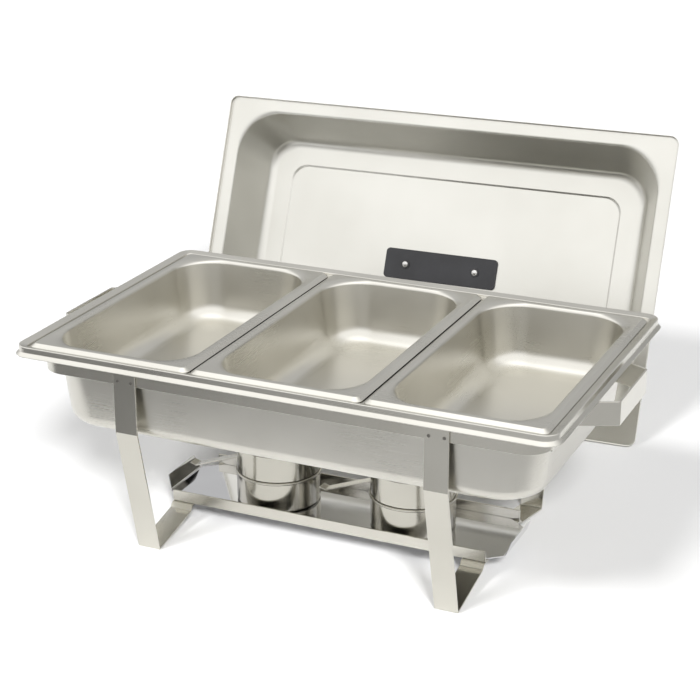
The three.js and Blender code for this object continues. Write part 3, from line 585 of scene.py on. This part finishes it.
def food_pan(hand):
    node = f"food_pan_{hand}"
    half, centre = half_of(node), middle_of(node)
    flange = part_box(node)[1].z
    floor = flange - FOOD_DEPTH
    foot = FOOD_FLANGE + FOOD_TAPER
    points = [
        inset_level(half, foot + 0.04, 0.008, floor),
        inset_level(half, foot, FOOD_MOUTH_CORNER - FOOD_TAPER, floor),
        inset_level(half, FOOD_FLANGE, FOOD_MOUTH_CORNER, flange),
        inset_level(half, FOOD_HEM_RUN, FOOD_CORNER - FOOD_HEM_RUN, flange),
        inset_level(half, 0.0003, FOOD_CORNER, flange - FOOD_HEM_DROP),
    ]
    levels = sheet_section(soften(points, [FOOD_FLOOR_ROUND, FOOD_MOUTH_ROUND, 0.0016]), SHEET, -1)
    place = Matrix.Translation((centre.x, centre.y, 0))
    piece(f"{node}_pressing", *pressed(levels, place), node, node, "satin_steel", satin)


# ---- stand -------------------------------------------------------------------------
stand_middle = middle_of("water_pan")


def leg_line(outer, top, foot_drop):
    """The middle of the front leg's strip, as (y, z) from the stand's middle."""
    foot = -FOOT_SPREAD / 2
    ledge = LEDGE_TOP - STRIP / 2
    points = [
        (outer, top), (outer, LEG_BEND_HEIGHT), (foot, foot_drop),
        (-LEDGE_START - STEP_RUN, RETURN_RISE), (-LEDGE_START, ledge), (-LEDGE_START + LEDGE_DEPTH, ledge),
    ]
    return soften(points, [0.004, 0.0019, 0.003, 0.002], 6)


def leg(end, hand):
    node = f"leg_{end}_{hand}"
    low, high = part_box(node)
    row = -1 if end == "front" else 1
    outer = -max(abs(low.y - stand_middle.y), abs(high.y - stand_middle.y)) + STRIP / 2
    centre_x = (low.x + high.x) / 2
    width = high.x - low.x

    def place(u, v, w):
        return Vector((centre_x + w, stand_middle.y - row * u, v))

    trial = strip(leg_line(outer, high.z, 0.0), width, STRIP, place)[0]
    drop = low.z - min(v.z for v in trial)
    vertices, faces = strip(leg_line(outer, high.z, drop), width, STRIP, place)
    piece(f"{node}_strip", vertices, faces, node, "stand", "strip_steel", strip_z)


def band(end):
    node = f"{end}_band"
    low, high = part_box(node)
    row = -1 if end == "front" else 1
    half_x = (high.x - low.x) / 2 - STRIP / 2
    face_y = max(abs(low.y - stand_middle.y), abs(high.y - stand_middle.y)) - STRIP / 2
    corner_x, corner_y = half_x - BAND_CORNER, face_y - BAND_CORNER
    line = [Vector((-half_x, -corner_y + BAND_TAIL))]
    line += arc_points(-corner_x, -corner_y, BAND_CORNER, 180, 270, 12)
    line += arc_points(corner_x, -corner_y, BAND_CORNER, 270, 360, 12)
    line.append(Vector((half_x, -corner_y + BAND_TAIL)))
    middle = (low + high) / 2

    def place(u, v, w):
        return Vector((middle.x + u, stand_middle.y - row * v, middle.z + w))

    vertices, faces = strip(line, high.z - low.z, STRIP, place)
    piece(f"{node}_strip", vertices, faces, node, "stand", "strip_steel", strip_x)


def side_handle(hand):
    node = f"side_handle_{hand}"
    low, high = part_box(node)
    side = 1 if hand == "right" else -1
    far = max(abs(low.x - stand_middle.x), abs(high.x - stand_middle.x)) - STRIP / 2
    near = min(abs(low.x - stand_middle.x), abs(high.x - stand_middle.x)) + STRIP / 2
    end = (high.y - low.y) / 2
    points = [(near, -end), (near, -HANDLE_ROOT / 2), (far, -HANDLE_GRIP / 2),
              (far, HANDLE_GRIP / 2), (near, HANDLE_ROOT / 2), (near, end)]
    line = soften(points, [HANDLE_BEND] * 4, 6)
    middle = (low + high) / 2

    def place(u, v, w):
        return Vector((stand_middle.x + side * u, middle.y + v, middle.z + w))

    vertices, faces = strip(line, high.z - low.z, STRIP, place)
    piece(f"{node}_strip", vertices, faces, node, "stand", "strip_steel", strip_y)


def rail(end):
    node = f"{end}_rail"
    low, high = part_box(node)
    middle = (low + high) / 2
    reach = (high.x - low.x) / 2
    line = [Vector((-reach, 0)), Vector((0, 0)), Vector((reach, 0))]

    def place(u, v, w):
        return Vector((middle.x + u, middle.y + v, middle.z + w))

    vertices, faces = strip(line, high.z - low.z, high.y - low.y, place)
    piece(f"{node}_strip", vertices, faces, node, "stand", "strip_steel", strip_x)


def dome(radius, head, shank, length):
    """Profile of a rivet: a round head below zero and a shank above it."""
    profile = [(0, -head)]
    for i in range(1, 9):
        angle = math.pi / 2 * i / 8
        profile.append((radius * math.sin(angle), -head * math.cos(angle)))
    return profile + [(shank, 0), (shank, length), (0, length)]


def rivet(node, body, size, axis, material):
    """A domed rivet that fills the box of its node. axis points from the head to the tail."""
    radius, head, shank = size
    low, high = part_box(node)
    direction = Vector(axis)
    middle = (low + high) / 2
    length = abs((high - low).dot(direction))
    seat = middle - direction * (length / 2 - head)
    turn = Vector((0, 0, 1)).rotation_difference(direction).to_matrix()
    vertices, faces = lathe(dome(radius, head, shank, length - head), seat, turn, RIVET_STEPS)
    piece(f"{node}_head", vertices, faces, node, body, "screw_steel", material)


def build_stand():
    for end, direction in (("front", 1), ("back", -1)):
        band(end)
        rail(end)
        for hand in ("left", "right"):
            leg(end, hand)
            for count in (1, 2):
                node = f"leg_rivet_{end}_{hand}_{count}"
                rivet(node, "stand", LEG_RIVET, (0, direction, 0), rivet_head)
    side_handle("left")
    side_handle("right")


# ---- fuel tray ---------------------------------------------------------------------
def fuel_tray():
    low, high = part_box("fuel_tray")
    middle = (low + high) / 2
    half_width = (high.y - low.y) / 2
    floor = TRAY_LENGTH / 2
    tip = floor + TRAY_LIP_FLARE
    points = [(-tip, low.z + SHEET / 2 + TRAY_LIP), (-floor, low.z + SHEET / 2),
              (floor, low.z + SHEET / 2), (tip, low.z + SHEET / 2 + TRAY_LIP)]
    bent = soften(points, [TRAY_BEND, TRAY_BEND], 8)
    start = tip + SHEET - TRAY_CHAMFER - TRAY_LIP_FLARE
    stations = [bent[0]]
    for before, after in zip(bent, bent[1:]):
        steps = max(1, round((after - before).length / TRAY_STEP))
        stations += [before.lerp(after, (i + 1) / steps) for i in range(steps)]
    slope = TRAY_CHAMFER / (TRAY_CHAMFER + TRAY_LIP_FLARE)
    section = strip_section(1.0, SHEET, TRAY_EDGE)
    vertices = []
    for point, (across, up) in zip(stations, section_normals(stations)):
        past = max(0.0, abs(point[0]) - start)
        ease = past * past / (past + TRAY_BEND) if past else 0.0
        reach = half_width - slope * ease
        for wide, off in section:
            x = middle.x + point[0] + across * off
            y = math.copysign(reach - (0.5 - abs(wide)), wide)
            vertices.append(Vector((x, middle.y + y, point[-1] + up * off)))
    count = len(section)
    faces = tube_faces(len(stations), count)
    faces.append(tuple(range(count))[::-1])
    faces.append(tuple(range((len(stations) - 1) * count, len(stations) * count)))
    piece("fuel_tray_sheet", vertices, faces, "fuel_tray", "fuel_tray", "mirror_steel", mirror)


# ---- burners -----------------------------------------------------------------------
def rounded_profile(points, radii, steps=5):
    return [(p[0], p[1]) for p in soften(points, radii, steps)]


def burner_cup(name, axis):
    low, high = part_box(f"{name}_cup")
    radius = (high.x - low.x) / 2 - CUP_BEAD
    top, foot = high.z, low.z
    inner = radius - CUP_WALL
    bead = [(p[0], p[1]) for p in arc_points(radius, top - CUP_BEAD, CUP_BEAD, -80, 125, 14)]
    outside = [(0, foot), (radius, foot), (radius, top - 2.2 * CUP_BEAD)]
    inside = [(inner, top - CUP_WALL), (inner, foot + CUP_WALL), (0, foot + CUP_WALL)]
    outer, hollow = rounded_profile(outside, [CUP_FOOT]), rounded_profile(inside, [CUP_FOOT])
    vertices, faces = lathe(outer + bead + hollow, axis)
    piece(f"{name}_cup_spun", vertices, faces, f"{name}_cup", name, "mirror_steel", spun)


def fuel_can(name, axis):
    low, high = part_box(f"{name}_fuel_can")
    radius = (high.x - low.x) / 2
    top, foot = high.z, low.z
    lid = top - CAN_SEAM
    seam = CAN_FLARE
    profile = [
        (0, foot + 0.001), (radius - seam - 0.0006, foot + 0.001), (radius - seam, foot),
        (radius - 0.0005, foot), (radius, foot + 0.0006), (radius, foot + seam),
        (radius - 0.0005, foot + seam + 0.0005), (radius - 0.0005, top - seam - 0.0008),
        (radius, top - seam - 0.0003), (radius, top - 0.0006), (radius - 0.0005, top),
        (radius - seam + 0.0004, top), (radius - seam, top - 0.0004), (radius - CAN_SEAM, lid),
        (radius - 0.008, lid), (radius - 0.0092, lid - 0.0006), (CAN_MOUTH + 0.004, lid - 0.0006),
        (CAN_MOUTH + 0.0015, lid), (CAN_MOUTH + 0.0008, lid + 0.0018), (CAN_MOUTH, lid + 0.0022),
        (CAN_MOUTH - CUP_WALL, lid + 0.0019), (CAN_MOUTH - 0.001, lid), (0, lid),
    ]
    vertices, faces = lathe(profile, axis, steps=64)
    node = f"{name}_fuel_can"
    piece(f"{node}_tin", vertices, faces, node, name, "tinplate", tinplate, CAN_SHARP)


def burner_cover(name, axis):
    low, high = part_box(f"{name}_cover")
    radius = (high.x - low.x) / 2
    top = high.z
    seat = low.z + COVER_COLLAR
    collar = half_of(f"{name}_cup").x - CUP_BEAD - CUP_WALL - COLLAR_PLAY
    outer = [(collar - CUP_WALL, low.z), (collar, low.z), (collar, seat),
             (radius, seat), (radius, top), (COVER_HOLE, top)]
    outside = rounded_profile(outer, [0.0003, 0.0004, 0.0004, COVER_EDGE])
    inner = [(COVER_HOLE, top - CUP_WALL), (radius - CUP_WALL, top - CUP_WALL),
             (radius - CUP_WALL, seat + CUP_WALL), (collar - CUP_WALL, seat + CUP_WALL / 2)]
    inside = rounded_profile(inner, [COVER_EDGE - CUP_WALL, 0.0004])
    vertices, faces = lathe(outside + inside, axis)
    node = f"{name}_cover"
    piece(f"{node}_spun", vertices, faces, node, node, "mirror_steel", spun)


def burner_handle(name):
    low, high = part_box(f"{name}_handle")
    foot = high.x - THIN_STRIP / 2
    bottom = high.z - GRIP_FOOT
    tip = low.x + 0.0004
    tip_z = bottom - GRIP_FALL + 0.002
    points = [(foot, high.z), (foot, bottom + 0.0005), (tip + 0.007, tip_z), (tip, tip_z + 0.002)]
    line = soften(points, [0.0025, 0.004], 8)
    middle = (low + high) / 2

    def place(u, v, w):
        return Vector((u, middle.y + w, v))

    vertices, faces = strip(line, GRIP_WIDTH, THIN_STRIP, place)
    node = f"{name}_handle"
    piece(f"{node}_strip", vertices, faces, node, f"{name}_cover", "strip_steel", strip_x)


def shutter_outline(inset):
    """Disc, ear round the rivet and tongue for a finger, as one outline."""
    radius, ear, tongue = SHUTTER_RADIUS - inset, SHUTTER_EAR - inset, SHUTTER_TONGUE - inset
    spread_angle = math.degrees(math.asin(ear / radius))
    grip_angle = math.degrees(math.asin(tongue / radius))
    points = arc_points(0, 0, radius, 90 + spread_angle, 270 - grip_angle, 28)
    points += arc_points(0, -SHUTTER_RADIUS - TONGUE_REACH, tongue, 180, 360, 14)
    points += arc_points(0, 0, radius, 270 + grip_angle, 450 - spread_angle, 28)
    points += arc_points(0, SHUTTER_ARM, ear, 0, 180, 14)
    return [(p[0], p[1]) for p in points]


def shutter(name, axis):
    low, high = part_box(f"{name}_shutter")
    place = Matrix.Translation(axis)
    vertices, faces = plate(shutter_outline, low.z, high.z, SHUTTER_EDGE, place)
    body = f"{name}_shutter"
    piece(f"{name}_shutter_disc", vertices, faces, body, body, "mirror_steel", mirror)


def burner(name):
    axis = middle_of(f"{name}_cup")
    axis.z = 0
    burner_cup(name, axis)
    fuel_can(name, axis)
    burner_cover(name, axis)
    burner_handle(name)
    shutter(name, axis)
    rivet(f"{name}_handle_rivet", f"{name}_cover", BURNER_RIVET, (1, 0, 0), fastener)
    rivet(f"{name}_shutter_rivet", f"{name}_cover", BURNER_RIVET, (0, 0, -1), fastener)


# ---- lid ---------------------------------------------------------------------------
ROOF = LID_HEM + SHEET + LID_HEIGHT
PANEL = ROOF + PANEL_RISE


def lid_place():
    """The lid as it stands: yawed, leaning back and resting on its hem."""
    turn = Matrix.Rotation(LID_YAW, 4, "Z") @ Matrix.Rotation(-(math.pi / 2 + LID_LEAN), 4, "X")
    half = half_of("water_pan")
    hem_x, hem_y = half.x - LIP_OUT + LID_OVERLAP, half.y - LIP_OUT + LID_OVERLAP
    flange, cut = LID_HEM + SHEET, LID_CHAMFER
    levels = [(hem_x, hem_y, LID_CORNER, 0), (hem_x, hem_y, LID_CORNER, flange - cut),
              (hem_x - cut, hem_y - cut, LID_CORNER - cut, flange)]
    corners = [turn @ point for level in levels for point in ring(level)]
    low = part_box("lid_shell")[0]
    shift_x = low.x - min(c.x for c in corners)
    shift_y = low.y - min(c.y for c in corners)
    shift_z = low.z - min(c.z for c in corners)
    return Matrix.Translation((shift_x, shift_y, shift_z)) @ turn, hem_x, hem_y


lid_at, lid_half_x, lid_half_y = lid_place()


def lid_shell():
    half = Vector((lid_half_x, lid_half_y, 0))
    mouth = LID_FLANGE
    roof = LID_FLANGE + LID_TAPER
    panel = roof + PANEL_INSET
    inner_roof, inner_panel = ROOF - SHEET, PANEL - SHEET
    points = [
        inset_level(half, panel + 0.05, 0.004, inner_panel),
        inset_level(half, panel + 0.001, PANEL_CORNER, inner_panel),
        inset_level(half, panel - 0.001, PANEL_CORNER, inner_roof),
        inset_level(half, roof + SHEET, LID_ROOF_CORNER, inner_roof),
        inset_level(half, mouth + SHEET, LID_MOUTH_CORNER, LID_HEM),
        inset_level(half, SHEET, LID_CORNER - SHEET, LID_HEM),
        inset_level(half, SHEET, LID_CORNER - SHEET, 0.0005),
    ]
    # both ends of the panel's step, edge of the roof, mouth, bend of the hem
    radii = [0.0008, 0.0008, LID_ROOF_ROUND, 0.004, 0.0008]
    levels = sheet_section(soften(points, radii), SHEET, 1)
    vertices, faces = pressed(levels, lid_at)
    piece("lid_shell_pressing", vertices, faces, "lid_shell", "lid", "satin_steel", lid_satin)


def plate_outline(inset):
    x, y, radius = PLATE_SIZE[0] / 2 - inset, PLATE_SIZE[1] / 2 - inset, PLATE_CORNER - inset
    points = []
    for quarter, (sx, sy) in enumerate(((1, 1), (-1, 1), (-1, -1), (1, -1))):
        start = quarter * 90
        points += arc_points(sx * (x - radius), sy * (y - radius), radius, start, start + 90, 8)
    return [(p[0], p[1]) for p in points]


def curve(start, control, end, steps=14):
    """Points of a curve from start to end that leaves and arrives in the direction of control."""
    start, control, end = Vector(start), Vector(control), Vector(end)
    points = []
    for i in range(steps + 1):
        t = i / steps
        points.append(start * (1 - t) ** 2 + control * (2 * t * (1 - t)) + end * t ** 2)
    return points


def handle_outline(inset):
    """Side view of the lid's handle: two feet and a bar that leaves room for the fingers."""
    height, under = BOW_HEIGHT, BOW_HEIGHT - BOW_BAR
    foot_in, foot_out = SCREW_PITCH / 2 - FOOT_IN, SCREW_PITCH / 2 + FOOT_OUT
    outer = curve((foot_out, 0), (foot_out - BOW_DRAFT, height), (foot_in, height))
    inner = curve((-foot_in, 0), (-foot_in, under), (BOW_ROUND - foot_in, under))
    loop = outer + [Vector((-p[0], p[1])) for p in reversed(outer)]
    loop += inner + [Vector((-p[0], p[1])) for p in reversed(inner)]
    moved = []
    for i, point in enumerate(loop):
        back = (point - loop[i - 1]).normalized()
        ahead = (loop[(i + 1) % len(loop)] - point).normalized()
        normal = Vector((-back[1] - ahead[1], back[0] + ahead[0])).normalized()
        moved.append(point + normal * inset)
    return [(p[0], p[1]) for p in moved]


def lid_hardware():
    """Backing plate, bow handle, washers and domed screws."""
    plate_low = PANEL - SHEET - TOUCH - PLATE_SIZE[2]
    vertices, faces = plate(plate_outline, plate_low, plate_low + PLATE_SIZE[2], PLATE_EDGE, lid_at)
    piece("lid_inner_plate_moulded", vertices, faces, "lid_inner_plate", "lid", "black_plastic", black)
    upright = lid_at @ Matrix.Translation((0, 0, PANEL + TOUCH)) @ Matrix.Rotation(math.pi / 2, 4, "X")
    vertices, faces = plate(handle_outline, -BOW_WIDTH / 2, BOW_WIDTH / 2, BOW_EDGE, upright)
    piece("lid_handle_moulded", vertices, faces, "lid_handle", "lid", "black_plastic", black)
    turn = lid_at.to_3x3()
    washer_low = plate_low - TOUCH - WASHER[1]
    seat = washer_low - SCREW_GAP
    edge = WASHER_EDGE
    out, thick, bore = WASHER
    flat = [(bore, 0), (out - edge, 0), (out, edge),
            (out, thick - edge), (out - edge, thick), (bore, thick)]
    shank = PANEL + TOUCH + SCREW_REACH - seat
    for count, x in ((1, -SCREW_PITCH / 2), (2, SCREW_PITCH / 2)):
        node = f"lid_washer_{count}"
        vertices, faces = lathe(flat, lid_at @ Vector((x, 0, washer_low)), turn, RIVET_STEPS)
        piece(f"{node}_ring", vertices, faces, node, "lid", "black_plastic", black)
        node = f"lid_screw_{count}"
        head = dome(*SCREW_HEAD, SCREW_SHANK, shank)
        vertices, faces = lathe(head, lid_at @ Vector((x, 0, seat)), turn, RIVET_STEPS)
        piece(f"{node}_dome", vertices, faces, node, "lid", "screw_steel", fastener)


water_pan()
for side in ("left", "middle", "right"):
    food_pan(side)
build_stand()
fuel_tray()
burner("burner_left")
burner("burner_right")
lid_shell()
lid_hardware()

# ---- floor, light and camera -------------------------------------------------------
FLOOR_SIZE = 40.0
FLOOR_SINK = 0.0002           # keeps the floor clear of the feet
FLOOR_TINTS = ((0.86, 0.86, 0.86), (0.88, 0.88, 0.88))
FILL = 0.25                   # the white room's even light, which every ray but a reflected one sees

# What reflections see: grey levels by height, from the ground to the top of the room.
GROUND_LEVEL = (0.7, 0.7, 0.69)
STUDIO_LEVELS = ((0.2, 0.95), (0.42, 1.55), (0.7, 1.45), (0.86, 1.5))
TOP_LEVEL = (2.1, 2.1, 2.1)
BACK_LEVEL = 0.44             # they are dimmed to this share towards the back, behind the lid,
BACK_RANGE = (0.1, 0.6)       # between these values of a direction's Y

KEY_RIGHT = ((-0.77, 1.2, -1), 12, 3.3)           # way of the rays, spread in degrees, strength
KEY_LEFT = ((0.31, 0.85, -1), 14, 1.9)

CARD_OUTLINE = [(-3, -3), (3, -3), (3, 0.8), (0.8, 0.8),
                (0.52, -0.25), (0.3, -0.45), (-0.3, -0.5), (-3, -0.5)]
CARD_HEIGHT = 0.001
CARD_LEFT = (-0.45, 0.27)     # X and level at the card's darker end
CARD_RIGHT = (0.1, 0.62)

CAMERA_LENS = 93.18
CAMERA_SENSOR = 36.0
CAMERA_PLACE = (0.7232, -1.6965, 0.8309)
CAMERA_TILT = 69.36           # degrees from straight down
CAMERA_TURN = 24.17


def floor():
    material, tree, shader, coords = shader_nodes("pale_floor")
    patches = noise(tree, coords, (0.6, 0.6, 0.6), 2.0)
    tree.links.new(tint(tree, patches, *FLOOR_TINTS), shader.inputs["Base Color"])
    shader.inputs["Roughness"].default_value = 0.85
    shader.inputs["Specular IOR Level"].default_value = 0.1
    reach = FLOOR_SIZE / 2
    corners = [(-reach, -reach, 0), (reach, -reach, 0), (reach, reach, 0), (-reach, reach, 0)]
    mesh = bpy.data.meshes.new("floor")
    mesh.from_pydata(corners, [], [(0, 1, 2, 3)])
    mesh.materials.append(material)
    obj = bpy.data.objects.new("floor", mesh)
    bpy.context.scene.collection.objects.link(obj)
    obj.location.z = -FLOOR_SINK


def key_light(name, travel, spread_angle, strength):
    """A broad even light whose rays go along travel. Reflections don't show it."""
    light = bpy.data.lights.new(name, "SUN")
    light.angle = math.radians(spread_angle)
    light.energy = strength
    obj = bpy.data.objects.new(name, light)
    bpy.context.scene.collection.objects.link(obj)
    obj.rotation_euler = Vector(travel).to_track_quat("-Z", "Y").to_euler()
    obj.visible_glossy = False


def glossy_card(name, corners, left, right):
    """A card that only reflections see. left and right give X and level, and the level rises between them."""
    material = bpy.data.materials.new(name)
    material.use_nodes = True
    tree = material.node_tree
    tree.nodes.clear()
    coords = tree.nodes.new("ShaderNodeTexCoord")
    split = tree.nodes.new("ShaderNodeSeparateXYZ")
    ramp = tree.nodes.new("ShaderNodeMapRange")
    glow = tree.nodes.new("ShaderNodeEmission")
    output = tree.nodes.new("ShaderNodeOutputMaterial")
    ramp.interpolation_type = "SMOOTHSTEP"
    (ramp.inputs["From Min"].default_value, ramp.inputs["To Min"].default_value) = left
    (ramp.inputs["From Max"].default_value, ramp.inputs["To Max"].default_value) = right
    tree.links.new(coords.outputs["Object"], split.inputs["Vector"])
    tree.links.new(split.outputs["X"], ramp.inputs["Value"])
    tree.links.new(ramp.outputs["Result"], glow.inputs["Strength"])
    tree.links.new(glow.outputs["Emission"], output.inputs["Surface"])
    mesh = bpy.data.meshes.new(name)
    mesh.from_pydata(corners, [], [tuple(range(len(corners)))])
    mesh.materials.append(material)
    obj = bpy.data.objects.new(name, mesh)
    bpy.context.scene.collection.objects.link(obj)
    obj.visible_camera = False
    obj.visible_diffuse = False
    obj.visible_shadow = False


def world():
    """A white studio. Reflections see it brighter overhead, dimmer towards the ground and the back."""
    scene_world = bpy.data.worlds.new("studio")
    bpy.context.scene.world = scene_world
    scene_world.use_nodes = True
    tree = scene_world.node_tree
    background = tree.nodes["Background"]
    coords = tree.nodes.new("ShaderNodeTexCoord")
    split = tree.nodes.new("ShaderNodeSeparateXYZ")
    ramp = tree.nodes.new("ShaderNodeValToRGB")
    path = tree.nodes.new("ShaderNodeLightPath")
    mix = tree.nodes.new("ShaderNodeMixRGB")
    tree.links.new(coords.outputs["Generated"], split.inputs["Vector"])
    tree.links.new(split.outputs["Z"], ramp.inputs["Fac"])
    mix.inputs["Color1"].default_value = (FILL, FILL, FILL, 1)
    tree.links.new(path.outputs["Is Glossy Ray"], mix.inputs["Fac"])
    dim = tree.nodes.new("ShaderNodeMapRange")
    dim.inputs["From Min"].default_value = BACK_RANGE[0]
    dim.inputs["From Max"].default_value = BACK_RANGE[1]
    dim.inputs["To Min"].default_value = 1.0
    dim.inputs["To Max"].default_value = BACK_LEVEL
    scaled = tree.nodes.new("ShaderNodeVectorMath")
    scaled.operation = "SCALE"
    tree.links.new(split.outputs["Y"], dim.inputs["Value"])
    tree.links.new(ramp.outputs["Color"], scaled.inputs[0])
    tree.links.new(dim.outputs["Result"], scaled.inputs["Scale"])
    tree.links.new(scaled.outputs["Vector"], mix.inputs["Color2"])
    tree.links.new(mix.outputs["Color"], background.inputs["Color"])
    elements = ramp.color_ramp.elements
    elements[0].position, elements[0].color = 0.0, (*GROUND_LEVEL, 1)
    elements[1].position, elements[1].color = 1.0, (*TOP_LEVEL, 1)
    for place, level in STUDIO_LEVELS:
        elements.new(place).color = (level, level, level, 1)


def camera():
    data = bpy.data.cameras.new("camera")
    data.lens = CAMERA_LENS
    data.sensor_width = CAMERA_SENSOR
    obj = bpy.data.objects.new("camera", data)
    obj.location = CAMERA_PLACE
    obj.rotation_euler = (math.radians(CAMERA_TILT), 0, math.radians(CAMERA_TURN))
    bpy.context.scene.collection.objects.link(obj)
    bpy.context.scene.camera = obj


floor()
world()
key_light("front_right", *KEY_RIGHT)
key_light("front_left", *KEY_LEFT)
glossy_card("front_card", [(x, y, CARD_HEIGHT) for x, y in CARD_OUTLINE], CARD_LEFT, CARD_RIGHT)
camera()
bpy.context.scene.view_settings.view_transform = "Standard"
